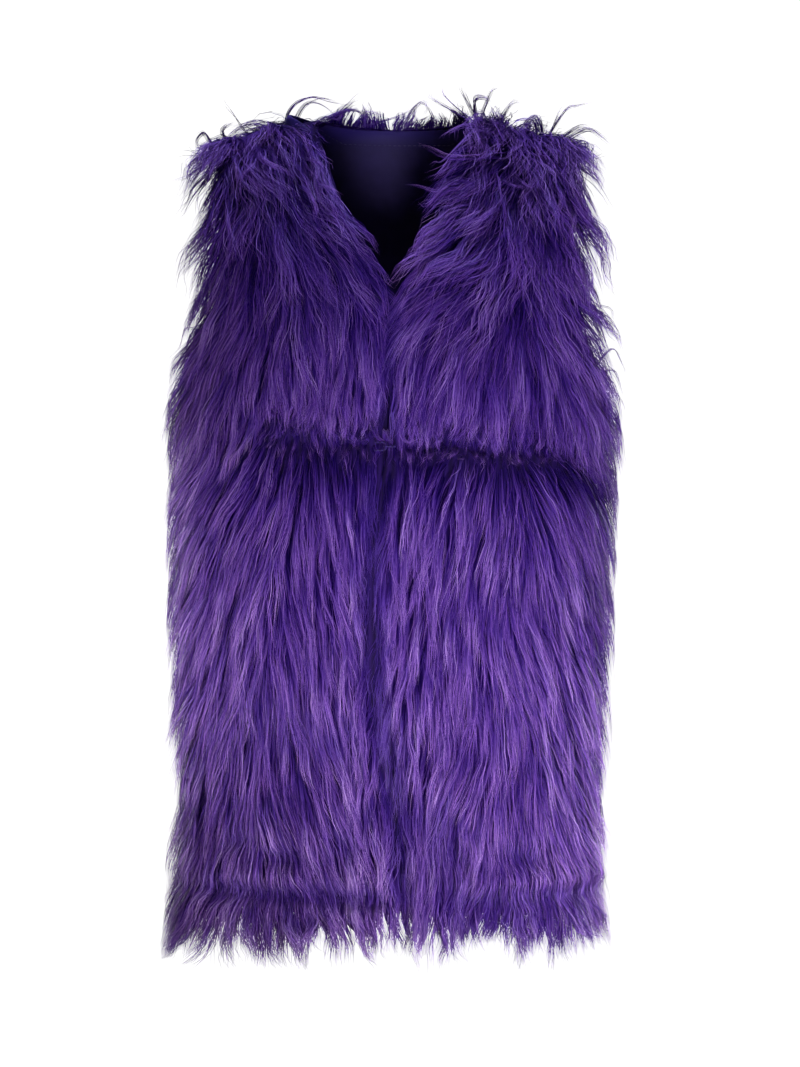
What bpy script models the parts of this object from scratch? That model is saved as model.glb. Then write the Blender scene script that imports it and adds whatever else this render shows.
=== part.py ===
"""Fluffy gilet: a sleeveless V-neck jacket of long-pile fur cloth with a satin lining.

It stands filled out on a general figure, with the neck, the armholes and the hem open. Each cloth
piece is a grid of points worked out from the section table below, thickened into a wall. The fur
cloth's wall is its backing and the pile that lies on it. Sizes in the tables are in millimetres.
The front faces -Y, and the origin lies between the shoulders, on the line of the shoulder seams.
"""

import math

import bmesh
import bpy
from mathutils import Vector
from mathutils.geometry import intersect_point_line

MM = 0.001

# Walls
FUR_WALL = 18.0  # backing and combed-down pile together
EDGE_SHARE = 0.30  # part of the wall that is left at a cut edge, where the pile rounds over
EDGE_ROUND = 18.0  # how far in from a cut edge the wall is whole again
PARTED_SHARE = 0.28  # the same where the pile parts round the fastening
PARTED_REACH = 14.0  # how far the pile is fully parted from the fastening
PARTED_FADE = 22.0  # and how far on it closes again
FOLD_SHARE = 0.60  # the same along the waist fold, where the pile is pressed in
FOLD_FADE = (0.55, 1.0)  # places across a section between which the fold dies out
LINING_WALL = 1.0
LINING_GAP = 0.45  # leaves 0.3 between the flat facets

# Distances that a piece is pulled back from the line it is cut to
SEAM_PULL = 0.16  # half of a sewn seam's gap
FRONT_PULL = 0.8  # half of the gap where the fronts meet
LINING_SEAM_PULL = 0.6
LINING_EDGE_PULL = 3.5
LINING_HEM_PULL = 16.0

# Places along a section, from its edge (front edge, neck or centre back) to its side
ACROSS = (0.0, 0.035, 0.10, 0.22, 0.36, 0.50, 0.64, 0.78, 0.90, 0.965, 1.0)
SQUARENESS = 0.86  # 1 makes a section an ellipse, less makes it squarer

# One row for each section of the left half, from the front pile tips over the shoulder to the back
# ones: its edge point, its side point, how far it turns in degrees, and rows of faces to the next.
SECTION_COLUMNS = ("name", "edge_x", "edge_y", "edge_z", "side_x", "side_y", "side_z", "turn", "steps")
SECTIONS = (
    ("front pile tips", 0, -123, -742, 187, 0, -740, 90, 1),
    ("front hem", 0, -119, -706, 182, 0, -704, 90, 2),
    ("front skirt", 0, -116, -610, 177, 0, -608, 90, 2),
    ("front hip", 0, -118, -500, 183, 0, -498, 90, 2),
    ("front below waist", 0, -119, -390, 186, 0, -388, 90, 2),
    ("front fold underside", 0, -115, -315, 185, 0, -315, 90, 2),
    ("front waist fold", 0, -111, -290, 184, 0, -290, 90, 2),
    ("front fold top", 0, -116, -264, 184, 0, -264, 90, 1),
    ("front underarm", 0, -118, -230, 182, 0, -234, 90, 1),
    ("front armhole foot", 0, -118, -196, 177, -34, -216, 78, 2),
    ("front vee", 1, -116, -157, 163, -54, -173, 62, 2),
    ("front chest", 30, -106, -110, 157, -63, -118, 50, 2),
    ("front collarbone", 54, -80, -55, 160, -51, -66, 40, 2),
    ("front shoulder", 70, -40, -3, 166, -26, -28, 30, 2),
    ("shoulder seam", 75, 3, 14, 168, 1, -16, 30, 2),
    ("back shoulder", 64, 36, 16, 166, 28, -28, 30, 1),
    ("back neck side", 36, 57, 15, 163, 43, -52, 36, 1),
    ("back neck", 0, 65, 13, 160, 54, -84, 45, 1),
    ("back neck base", 0, 71, -7, 160, 56, -96, 47, 2),
    ("back yoke", 0, 88, -66, 158, 59, -128, 55, 2),
    ("back blades", 0, 102, -150, 164, 50, -180, 66, 1),
    ("back armhole foot", 0, 105, -196, 177, 32, -216, 78, 1),
    ("back underarm", 0, 105, -230, 182, 0, -234, 90, 1),
    ("back fold top", 0, 102, -264, 184, 0, -264, 90, 1),
    ("back waist fold", 0, 98, -290, 184, 0, -290, 90, 1),
    ("back fold underside", 0, 99, -315, 185, 0, -315, 90, 2),
    ("back below waist", 0, 103, -390, 186, 0, -388, 90, 2),
    ("back hip", 0, 106, -500, 183, 0, -498, 90, 2),
    ("back skirt", 0, 106, -610, 177, 0, -608, 90, 2),
    ("back hem", 0, 108, -706, 182, 0, -704, 90, 1),
    ("back pile tips", 0, 112, -742, 187, 0, -740, 90, 0),
)
SIDE_BREAKS = ("front underarm", "back underarm")  # the armhole and the side seam meet here

# How far the line where the fronts meet wanders from the middle, by height
FRONT_LINE_COLUMNS = ("height", "shift")
FRONT_LINE = (
    (-742, 21),
    (-690, 19),
    (-640, 14),
    (-590, 7),
    (-520, -9),
    (-420, -15),
    (-340, -13),
    (-290, -5),
    (-157, 0),
)

# Hook and eye of covered wire, fastened across the front line at the waist fold
WIRE_RADIUS = 0.9
WIRE_GAP = 0.3
HOOK_BEND = 2.1  # radius of the hook's turn round the eye
HOOK_SHANK = 9.0
HOOK_TIP = 3.0
EYE_REACH = 11.0
LEAN_ROOM = 0.6  # the cloth beside the fold leans out by this much
EYE_HALF_WIDTH = 3.6

MATERIALS = {
    "fur": ("Purple faux fur", (0.085, 0.030, 0.260, 1.0), 0.75, 0.0),
    "lining": ("Indigo satin lining", (0.020, 0.012, 0.060, 1.0), 0.35, 0.0),
    "wire": ("Violet covered wire", (0.120, 0.050, 0.330, 1.0), 0.5, 0.0),
}


def clear_scene():
    for item in list(bpy.data.objects):
        bpy.data.objects.remove(item, do_unlink=True)


def rows_named(columns, rows):
    return [dict(zip(columns, row)) for row in rows]


def index_of(name):
    return [row[0] for row in SECTIONS].index(name)


def smooth(values, breaks, place):
    """The value at a place counted in sections, on a curve that is smooth except at the breaks."""
    low = min(int(place), len(values) - 2)
    part = place - low
    start, end = values[low], values[low + 1]
    leave = end - start
    arrive = end - start
    if low > 0 and low not in breaks:
        leave = (end - values[low - 1]) / 2
    if low + 2 < len(values) and low + 1 not in breaks:
        arrive = (values[low + 2] - start) / 2
    square, cube = part * part, part * part * part
    return (
        start * (2 * cube - 3 * square + 1)
        + leave * (cube - 2 * square + part)
        + end * (3 * square - 2 * cube)
        + arrive * (cube - square)
    )


def section_at(place):
    """The section at a place, as a dictionary of the table's columns."""
    breaks = [index_of(name) for name in SIDE_BREAKS]
    found = {}
    for number, column in enumerate(SECTION_COLUMNS[1:-1], start=1):
        values = [row[number] for row in SECTIONS]
        found[column] = smooth(values, [] if column.startswith("edge") else breaks, place)
    found["edge_x"] = max(found["edge_x"], 0.0)
    found["turn"] = min(found["turn"], 90.0)
    return found


def front_shift(height):
    """Where the fronts meet at this height, in millimetres from the middle."""
    rows = rows_named(FRONT_LINE_COLUMNS, FRONT_LINE)
    if height >= rows[-1]["height"]:
        return rows[-1]["shift"]
    for low, high in zip(rows, rows[1:]):
        if height <= high["height"]:
            part = (height - low["height"]) / (high["height"] - low["height"])
            part = min(max(part, 0.0), 1.0)
            return low["shift"] + (high["shift"] - low["shift"]) * part * part * (3 - 2 * part)
    return 0.0


def section_point(section, share, hand):
    """A point of the section, from its edge at share 0 to its side at share 1. hand is 1 on the left."""
    turn = math.radians(section["turn"])
    across = (math.sin(turn * share) / math.sin(turn)) ** SQUARENESS
    inward = 1 - math.cos(turn * share) ** SQUARENESS
    inward /= 1 - math.cos(turn) ** SQUARENESS
    edge_x = section["edge_x"]
    if section["edge_y"] < 0:
        edge_x += hand * front_shift(section["edge_z"])
    return Vector(
        (
            hand * (edge_x + (section["side_x"] - edge_x) * across),
            section["edge_y"] + (section["side_y"] - section["edge_y"]) * inward,
            section["edge_z"] + (section["side_z"] - section["edge_z"]) * share,
        )
    )


def places_between(first, last):
    """The places of the rows of points from one named section to another."""
    places = []
    for number in range(index_of(first), index_of(last)):
        steps = SECTIONS[number][-1]
        places += [number + step / steps for step in range(steps)]
    return places + [index_of(last)]


def panel_points(first, last, hand):
    """Rows of points of the cloth's inner face, from one section to another."""
    places = places_between(first, last)
    return places, [[section_point(section_at(place), share, hand) for share in ACROSS] for place in places]


def pull_row(points, row, beside, distance):
    """Moves one row of points towards the row beside it."""
    for column, point in enumerate(points[row]):
        step = points[beside][column] - point
        points[row][column] = point + step.normalized() * min(distance, 0.8 * step.length)


def pull_column(points, column, beside, distance):
    """Moves one column of points towards the column beside it."""
    for row in points:
        step = row[beside] - row[column]
        row[column] = row[column] + step.normalized() * min(distance, 0.8 * step.length)


def cut_edges(places, points, mirrored):
    """The stretches of a panel's outline that are cut edges and not seams, as pairs of points."""
    front_edge = [row[0] for place, row in zip(places, points) if not mirrored or place <= index_of("back neck")]
    low, high = [index_of(name) for name in SIDE_BREAKS]
    armhole = [row[-1] for place, row in zip(places, points) if low <= place <= high]
    hem = points[-1] if mirrored else points[0]
    return [pair for line in (front_edge, armhole, hem) for pair in zip(line, line[1:])]


def edge_distance(point, pairs):
    """How far a point lies from the nearest of the stretches."""
    nearest = math.inf
    for start, end in pairs:
        on_line, part = intersect_point_line(point, start, end)
        if part < 0 or part > 1:
            on_line = start if part < 0 else end
        nearest = min(nearest, (point - on_line).length)
    return nearest


def wall_share(place, column, point, pairs):
    """The part of the full wall at a point: less at cut edges, at the waist fold and at the fastening."""
    inside = min(edge_distance(point, pairs) / EDGE_ROUND, 1.0)
    share = EDGE_SHARE + (1 - EDGE_SHARE) * math.sqrt(1 - (1 - inside) ** 2)
    across = ACROSS[column]
    for fold in ("front waist fold", "back waist fold"):
        if abs(place - index_of(fold)) < 0.01:
            fade = min(max((across - FOLD_FADE[0]) / (FOLD_FADE[1] - FOLD_FADE[0]), 0.0), 1.0)
            share = min(share, FOLD_SHARE + (1 - FOLD_SHARE) * fade)
    if place < index_of("shoulder seam"):
        waist = section_at(index_of("front waist fold"))
        section = section_at(place)
        away = math.hypot(section["edge_z"] - waist["edge_z"], across * section["side_x"])
        closed = min(max((away - PARTED_REACH) / PARTED_FADE, 0.0), 1.0)
        share = min(share, PARTED_SHARE + (1 - PARTED_SHARE) * closed)
    return share


def faces_out(mesh_points):
    """True when the grid's faces, taken row by row, face away from the body's middle."""
    rows, columns = len(mesh_points), len(mesh_points[0])
    total = 0.0
    for row in range(rows - 1):
        for column in range(columns - 1):
            corner = mesh_points[row][column]
            normal = (mesh_points[row][column + 1] - corner).cross(mesh_points[row + 1][column] - corner)
            middle = Vector((corner.x * 0.5, 0.0, min(corner.z, -120.0)))
            total += normal.dot(corner - middle)
    return total > 0


def grid_mesh(name, uncut, points):
    """A mesh of the rows of points, split across the shorter diagonal of each uncut cell."""
    rows, columns = len(points), len(points[0])
    cells = bmesh.new()
    bmesh.ops.create_grid(cells, x_segments=columns - 1, y_segments=rows - 1, size=1.0)
    order = {}
    for vert in cells.verts:
        column = round((vert.co.x + 1) / 2 * (columns - 1))
        row = round((vert.co.y + 1) / 2 * (rows - 1))
        order[vert] = (row, column)
    for vert, (row, column) in order.items():
        vert.co = uncut[row][column] * MM
    if not faces_out(points):
        bmesh.ops.reverse_faces(cells, faces=cells.faces)
    bmesh.ops.triangulate(cells, faces=cells.faces, quad_method="SHORT_EDGE")
    for vert, (row, column) in order.items():
        vert.co = points[row][column] * MM
    mesh = bpy.data.meshes.new(name)
    cells.to_mesh(mesh)
    places = [order[vert] for vert in cells.verts]
    cells.free()
    return mesh, places


def material_for(kind):
    label, colour, roughness, metallic = MATERIALS[kind]
    material = bpy.data.materials.get(label)
    if material is None:
        material = bpy.data.materials.new(label)
        material.use_nodes = True
        shader = material.node_tree.nodes["Principled BSDF"]
        shader.inputs["Base Color"].default_value = colour
        shader.inputs["Roughness"].default_value = roughness
        shader.inputs["Metallic"].default_value = metallic
    return material


def add_object(name, mesh, kind, collection):
    piece = bpy.data.objects.new(name, mesh)
    mesh.materials.append(material_for(kind))
    collection.objects.link(piece)
    return piece


def add_mirror(piece):
    mirror = piece.modifiers.new("Other half", "MIRROR")
    mirror.use_axis = (True, False, False)
    mirror.use_mirror_merge = True
    mirror.merge_threshold = 0.02 * MM


def add_fur_panel(name, first, last, hand, collection, mirrored=False):
    """A fur cloth piece: a grid on the cloth's inner face, thickened outwards by backing and pile."""
    places, uncut = panel_points(first, last, hand)
    points = [list(row) for row in uncut]
    pull_column(points, -1, -2, SEAM_PULL)
    seam_row = places.index(index_of("shoulder seam"))
    pull_row(points, seam_row, seam_row - 1 if seam_row else 1, SEAM_PULL)
    if not mirrored:
        pull_column(points, 0, 1, FRONT_PULL)
    mesh, order = grid_mesh(name, uncut, points)
    piece = add_object(name, mesh, "fur", collection)
    pile = piece.vertex_groups.new(name="pile")
    pairs = cut_edges(places, points, mirrored)
    for number, (row, column) in enumerate(order):
        pile.add([number], wall_share(places[row], column, points[row][column], pairs), "REPLACE")
    if mirrored:
        add_mirror(piece)
    wall = piece.modifiers.new("Backing and pile", "SOLIDIFY")
    wall.thickness = FUR_WALL * MM
    wall.offset = 1.0
    wall.vertex_group = "pile"
    return piece


def add_lining(name, first, last, hand, collection, mirrored=False):
    """A lining piece: the fur cloth's own points, moved in, with its edges set back."""
    places, uncut = panel_points(first, last, hand)
    points = [list(row) for row in uncut]
    seam_row = places.index(index_of("shoulder seam"))
    hem_row = len(points) - 1 if seam_row == 0 else 0
    pull_row(points, seam_row, seam_row - 1 if seam_row else 1, LINING_SEAM_PULL)
    pull_row(points, hem_row, hem_row - 1 if hem_row else 1, LINING_HEM_PULL)
    for number, row in enumerate(points):
        seam = places[number] <= index_of("front underarm") or places[number] >= index_of("back underarm")
        pull_column([row], -1, -2, LINING_SEAM_PULL if seam else LINING_EDGE_PULL)
        if not mirrored or places[number] < index_of("back neck"):
            pull_column([row], 0, 1, LINING_EDGE_PULL)
    mesh, order = grid_mesh(name, uncut, points)
    piece = add_object(name, mesh, "lining", collection)
    if mirrored:
        add_mirror(piece)
    inset = piece.modifiers.new("Gap to the fur cloth", "DISPLACE")
    inset.mid_level = 0.0
    inset.strength = -LINING_GAP * MM
    wall = piece.modifiers.new("Satin", "SOLIDIFY")
    wall.thickness = LINING_WALL * MM
    wall.offset = -1.0
    return piece


def add_wire(name, points, collection):
    """A closed round wire along the points, which are in millimetres."""
    curve = bpy.data.curves.new(name + " path", "CURVE")
    curve.dimensions = "3D"
    curve.bevel_depth = WIRE_RADIUS * MM
    curve.bevel_resolution = 2
    curve.use_fill_caps = True
    line = curve.splines.new("POLY")
    line.points.add(len(points) - 1)
    for target, point in zip(line.points, points):
        target.co = (*(Vector(point) * MM), 1.0)
    path = bpy.data.objects.new(name + " path", curve)
    collection.objects.link(path)
    graph = bpy.context.evaluated_depsgraph_get()
    mesh = bpy.data.meshes.new_from_object(path.evaluated_get(graph))
    bpy.data.objects.remove(path, do_unlink=True)
    cells = bmesh.new()
    cells.from_mesh(mesh)
    bmesh.ops.remove_doubles(cells, verts=cells.verts, dist=0.001 * MM)
    bmesh.ops.recalc_face_normals(cells, faces=cells.faces)
    cells.to_mesh(mesh)
    cells.free()
    mesh.name = name
    return add_object(name, mesh, "wire", collection)


def half_turn(steps):
    return [math.pi * step / steps for step in range(steps + 1)]


def add_fastening(collection):
    """The hook, on the left front, and the eye it holds, on the right front, in the parted pile."""
    section = section_at(index_of("front waist fold"))
    height = section["edge_z"]
    middle = front_shift(height)
    shank_y = section["edge_y"] - FUR_WALL * PARTED_SHARE - WIRE_GAP - WIRE_RADIUS - LEAN_ROOM
    bend_x = middle - 1.0
    bend_y = shank_y - HOOK_BEND
    hook = [(bend_x + HOOK_SHANK, shank_y, height)]
    for angle in half_turn(8):
        hook.append((bend_x - HOOK_BEND * math.sin(angle), bend_y + HOOK_BEND * math.cos(angle), height))
    hook.append((bend_x + HOOK_TIP, bend_y - HOOK_BEND, height))
    add_wire("fur_hook", hook, collection)
    eye = [(middle - EYE_REACH, shank_y, height + EYE_HALF_WIDTH)]
    for angle in half_turn(8):
        along = math.sin(angle)
        start_x = bend_x - EYE_HALF_WIDTH * 0.5
        eye.append((start_x + along * EYE_HALF_WIDTH * 0.5, bend_y, height + EYE_HALF_WIDTH * math.cos(angle)))
    eye.append((middle - EYE_REACH, shank_y, height - EYE_HALF_WIDTH))
    add_wire("fur_eye", eye, collection)


def main():
    clear_scene()
    collection = bpy.data.collections.new("Fluffy gilet")
    bpy.context.scene.collection.children.link(collection)
    add_fur_panel("front_left", "front pile tips", "shoulder seam", 1, collection)
    add_fur_panel("front_right", "front pile tips", "shoulder seam", -1, collection)
    add_fur_panel("back", "shoulder seam", "back pile tips", 1, collection, mirrored=True)
    add_lining("lining_front_left", "front hem", "shoulder seam", 1, collection)
    add_lining("lining_front_right", "front hem", "shoulder seam", -1, collection)
    add_lining("lining_back", "shoulder seam", "back hem", 1, collection, mirrored=True)
    add_fastening(collection)


main()
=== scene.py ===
"""Looks of a purple long-pile faux-fur gilet: fur cloth, pile, satin lining and hook and eye.

The cloth shells are taken from the walls of the loaded frame. The pile grows on them with Geometry
Nodes, in locks, and follows tables that say how it is combed, pressed and folded. Lengths in the
tables are in millimetres, in the frame's own axes: +X to the wearer's left, the front facing -Y.
"""

import math

import bmesh
import bpy
import numpy as np
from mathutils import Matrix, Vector
from mathutils.bvhtree import BVHTree


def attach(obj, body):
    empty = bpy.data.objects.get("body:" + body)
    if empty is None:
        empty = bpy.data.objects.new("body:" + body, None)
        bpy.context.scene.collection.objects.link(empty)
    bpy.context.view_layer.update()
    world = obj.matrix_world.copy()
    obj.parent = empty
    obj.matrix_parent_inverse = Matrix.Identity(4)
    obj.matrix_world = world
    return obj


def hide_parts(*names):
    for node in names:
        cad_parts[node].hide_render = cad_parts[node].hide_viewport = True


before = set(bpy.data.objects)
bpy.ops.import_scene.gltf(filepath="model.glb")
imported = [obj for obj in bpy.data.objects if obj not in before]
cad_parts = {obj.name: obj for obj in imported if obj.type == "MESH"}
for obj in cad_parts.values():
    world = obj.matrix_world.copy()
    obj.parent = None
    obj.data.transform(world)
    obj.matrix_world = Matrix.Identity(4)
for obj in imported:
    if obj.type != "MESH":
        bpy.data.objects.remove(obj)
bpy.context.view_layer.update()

bl_info = {
    "name": "Faux fur gilet",
    "version": (1, 0, 0),
    "blender": (4, 5, 0),
    "location": "3D View > Sidebar > Gilet",
    "description": "Builds the fur cloth, pile, lining, fastening and stage of a faux fur gilet",
    "category": "Object",
}

MM = 0.001
MATHS = "ShaderNodeMath"
VECTOR = "ShaderNodeVectorMath"
NAMED = "GeometryNodeInputNamedAttribute"
STORE = "GeometryNodeStoreNamedAttribute"
NEAREST = "GeometryNodeSampleNearestSurface"
SCATTER = "GeometryNodeDistributePointsOnFaces"
PICK = "GeometryNodeSampleIndex"
CHANCE = "FunctionNodeRandomValue"
# The wave texture has a band for each 2 pi of this times the place times the scale
WAVE_RATE = 20

# The three fur cloth pieces and the lining piece behind each
PANELS = (
    ("front_right", "lining_front_right"),
    ("front_left", "lining_front_left"),
    ("back", "lining_back"),
)
# Heights of the sewn hem, of the middle of the tips below it and of the waist fold, and the pile's length
HEM_HEIGHT = -706.0
TIP_HEIGHT = -748.0
FOLD_HEIGHT = -291.0
PILE_LENGTH = 88.0

# How the pile is combed: sideways lean for each step down. A row for each height, with a value at each
# of these places across.
NAP_ACROSS = {
    "front_right": (-180, -155, -127, -100, -73, -46, -20),
    "front_left": (7, 34, 61, 88, 114, 141, 168),
    "back": (-180, -120, -60, 0, 60, 120, 180),
}
NAP = {
    "front_right": (
        (10, -0.10, -0.10, 0.00, 0.00, 0.10, 0.40, 0.90),
        (-25, -0.20, -0.15, -0.05, 0.20, 0.35, 0.70, 0.90),
        (-51, -0.30, -0.25, -0.10, 0.50, 0.75, 0.90, 0.90),
        (-78, -0.50, -0.30, 0.15, 0.60, 0.85, 0.90, 0.90),
        (-105, -0.50, -0.30, 0.05, 0.35, 0.75, 0.80, 0.85),
        (-132, -0.50, -0.35, -0.20, 0.20, 0.35, 0.35, 0.70),
        (-159, -0.45, -0.33, -0.18, 0.15, 0.05, 0.10, 0.40),
        (-185, -0.40, -0.20, -0.25, 0.10, 0.06, 0.02, -0.20),
        (-212, -0.35, 0.05, 0.05, 0.10, 0.20, 0.05, -0.30),
        (-239, -0.45, 0.05, 0.00, 0.15, -0.10, -0.35, -0.30),
        (-266, -0.60, -0.15, -0.30, 0.10, -0.15, -0.15, 0.20),
        (-293, -0.70, -0.70, -0.40, 0.00, 0.10, 0.10, 0.20),
        (-320, -0.70, -0.70, -0.60, -0.40, 0.05, 0.25, 0.10),
        (-346, -0.35, -0.35, -0.35, -0.10, 0.06, 0.20, 0.10),
        (-373, -0.35, -0.30, -0.20, 0.05, 0.30, 0.20, 0.00),
        (-400, -0.45, -0.25, -0.25, 0.00, 0.35, 0.33, 0.10),
        (-454, -0.33, -0.12, -0.14, 0.05, 0.28, 0.24, 0.12),
        (-507, -0.20, -0.18, -0.02, 0.03, 0.14, 0.30, 0.15),
        (-561, -0.20, -0.19, -0.15, 0.05, 0.14, 0.45, 0.35),
        (-588, -0.10, -0.20, -0.05, 0.50, 0.25, 0.30, 0.45),
        (-615, -0.15, -0.14, 0.10, 0.50, 0.25, 0.35, 0.45),
        (-641, -0.35, -0.11, -0.10, 0.15, 0.50, 0.65, 0.75),
        (-668, -0.40, -0.20, 0.00, 0.15, 0.50, 0.30, 0.40),
        (-695, -0.38, -0.45, 0.15, 0.20, 0.40, 0.55, 0.55),
        (-722, -0.28, -0.25, 0.50, 0.35, 0.38, 0.65, 0.50),
    ),
    "front_left": (
        (10, -0.90, -0.90, -0.80, -0.60, -0.20, 0.30, 0.40),
        (-25, -0.90, -0.90, -0.90, -0.80, -0.30, 0.35, 0.35),
        (-51, -1.00, -1.00, -1.00, -0.90, -0.20, 0.40, 0.35),
        (-78, -1.00, -1.00, -0.85, -0.90, -0.30, 0.38, 0.35),
        (-105, -1.00, -1.00, -0.95, -0.90, -0.55, 0.30, 0.42),
        (-132, -1.05, -1.05, -1.10, -0.60, -0.40, 0.30, 0.42),
        (-159, -1.10, -1.10, -1.00, -0.70, -0.05, 0.30, 0.45),
        (-185, -0.95, -0.68, -0.40, -0.22, -0.04, 0.10, 0.50),
        (-212, -0.66, -0.54, -0.15, -0.16, -0.10, -0.05, 0.20),
        (-239, -0.40, -0.42, -0.25, -0.10, 0.05, 0.00, 0.10),
        (-266, -0.20, -0.55, -0.30, -0.10, 0.08, 0.00, 0.15),
        (-293, -0.10, -0.40, -0.50, -0.30, 0.20, 0.20, 0.30),
        (-320, -0.14, -0.20, -0.50, -0.22, 0.40, 0.60, 0.55),
        (-346, -0.12, -0.15, -0.30, -0.30, 0.05, 0.30, 0.40),
        (-373, -0.05, -0.20, -0.23, -0.24, 0.00, 0.25, 0.40),
        (-400, -0.20, -0.27, -0.23, -0.20, -0.10, 0.15, 0.36),
        (-454, -0.18, -0.08, 0.00, 0.06, 0.17, 0.24, 0.50),
        (-507, -0.15, -0.10, 0.08, 0.10, 0.19, 0.16, 0.25),
        (-561, 0.00, -0.13, -0.30, -0.20, -0.08, 0.10, 0.44),
        (-588, 0.10, -0.33, -0.30, -0.19, -0.12, 0.05, 0.27),
        (-615, 0.20, -0.20, -0.13, 0.03, 0.03, 0.20, 0.25),
        (-641, 0.70, 0.04, -0.05, 0.13, 0.14, 0.30, 0.25),
        (-668, 0.55, 0.35, -0.20, -0.35, 0.00, 0.11, 0.23),
        (-695, 0.40, -0.15, -0.60, -0.60, -0.10, 0.11, 0.23),
        (-722, 0.35, -0.40, -0.10, 0.40, 0.50, 0.40, 0.45),
    ),
    "back": (
        (10, -0.40, -0.30, -0.10, 0.05, 0.20, 0.30, 0.40),
        (-60, -0.50, -0.30, 0.10, 0.10, -0.10, 0.20, 0.50),
        (-140, -0.50, -0.15, 0.25, 0.05, -0.30, 0.15, 0.50),
        (-230, -0.40, 0.05, 0.15, -0.05, -0.15, 0.00, 0.40),
        (-293, -0.60, -0.30, 0.05, 0.10, 0.00, 0.30, 0.50),
        (-340, -0.45, -0.30, -0.05, 0.10, 0.15, 0.30, 0.40),
        (-420, -0.35, -0.15, 0.10, 0.05, -0.10, 0.15, 0.35),
        (-520, -0.20, -0.05, 0.15, 0.00, -0.10, 0.10, 0.25),
        (-600, -0.20, 0.15, 0.25, 0.10, -0.20, 0.00, 0.25),
        (-660, -0.35, 0.00, 0.35, 0.20, 0.10, -0.20, 0.25),
        (-722, -0.25, 0.30, 0.40, 0.30, -0.20, 0.30, 0.40),
    ),
}

# Where the pile is fuller, looser or thinner: a row for each place, felt as far as spread. lift is how
# far tips stand out, tangle is how far locks bend and curl, stand is how high the pile is, cover is how
# dense it is, and reach is how long it is.
TUFT_COLUMNS = ("side", "x", "z", "spread", "lift", "tangle", "stand", "cover", "reach")
TUFT_PLAIN = {"lift": 0.02, "tangle": 0.65, "stand": 1.0, "cover": 1.0, "reach": 1.0}
TUFTS = (
    ("front", -150, -12, 26, 0.06, 2.0, 1.6, 1.5, 0.85),
    ("front", -122, -6, 24, 0.06, 2.0, 1.7, 1.5, 0.85),
    ("front", -72, 10, 14, 0.02, 1.0, 0.4, 0.00, 0.25),
    ("front", -88, 8, 13, 0.02, 1.0, 0.4, 0.10, 0.25),
    ("front", -66, -14, 11, 0.02, 1.0, 0.7, 1.30, 0.40),
    ("front", -62, -45, 20, 0.04, 1.4, 1.0, 1.2, 0.50),
    ("front", -45, -85, 18, 0.04, 1.2, 0.9, 1.2, 0.45),
    ("front", -25, -120, 18, 0.03, 1.1, 0.9, 1.2, 0.40),
    ("front", -8, -150, 14, 0.02, 1.0, 0.7, 1.2, 0.32),
    ("front", -110, -60, 40, 0.04, 1.5, 1.1, 1.1, 0.90),
    ("front", -100, -130, 50, 0.03, 1.2, 1.0, 1.0, 1.00),
    ("front", -165, -80, 26, 0.08, 1.5, 1.7, 2.4, 0.85),
    ("front", -162, -150, 30, 0.10, 1.3, 1.8, 2.4, 0.95),
    ("front", -172, -210, 30, 0.12, 1.2, 1.8, 2.2, 0.95),
    ("front", -185, -290, 34, 0.12, 1.2, 1.2, 1.2, 0.95),
    ("front", 150, -12, 28, 0.07, 2.1, 1.7, 1.5, 0.85),
    ("front", 108, -4, 28, 0.07, 2.1, 1.9, 1.5, 0.85),
    ("front", 76, 2, 18, 0.07, 2.0, 1.9, 1.5, 0.80),
    ("front", 62, -45, 22, 0.06, 1.9, 1.2, 1.2, 0.60),
    ("front", 45, -85, 18, 0.05, 1.5, 1.0, 1.2, 0.50),
    ("front", 25, -120, 18, 0.04, 1.2, 0.9, 1.2, 0.40),
    ("front", 8, -150, 14, 0.02, 1.0, 0.7, 1.2, 0.32),
    ("front", 115, -65, 40, 0.05, 2.0, 1.2, 1.1, 0.95),
    ("front", 90, -130, 50, 0.04, 1.7, 1.1, 1.0, 1.00),
    ("front", 165, -80, 26, 0.08, 1.8, 1.5, 2.4, 0.85),
    ("front", 162, -150, 30, 0.09, 1.6, 1.6, 2.4, 0.90),
    ("front", 172, -210, 30, 0.12, 1.4, 1.7, 2.2, 0.95),
    ("front", 185, -290, 34, 0.12, 1.3, 1.3, 1.2, 0.95),
    ("front", -4, -200, 13, 0.02, 1.3, 0.7, 1.0, 0.50),
    ("front", -4, -240, 13, 0.02, 1.3, 0.7, 1.0, 0.50),
    ("front", -4, -268, 14, 0.02, 1.3, 0.45, 1.0, 0.34),
    ("front", -8, -320, 13, 0.03, 1.6, 0.6, 1.0, 0.45),
    ("front", -14, -370, 14, 0.03, 1.7, 0.6, 1.0, 0.45),
    ("front", -14, -420, 15, 0.03, 1.8, 0.6, 1.0, 0.45),
    ("front", -14, -470, 15, 0.03, 1.8, 0.6, 1.0, 0.45),
    ("front", -12, -520, 15, 0.03, 1.7, 0.6, 1.0, 0.45),
    ("front", -2, -570, 14, 0.03, 1.5, 0.6, 1.0, 0.50),
    ("front", 8, -620, 14, 0.03, 1.4, 0.6, 1.0, 0.55),
    ("front", 14, -670, 14, 0.03, 1.3, 0.7, 1.1, 0.70),
    ("back", 0, 6, 24, 0.05, 1.2, 0.6, 5.5, 0.36),
    ("back", 0, -705, 70, 0.05, 1.3, 1.0, 1.7, 1.00),
)

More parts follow.
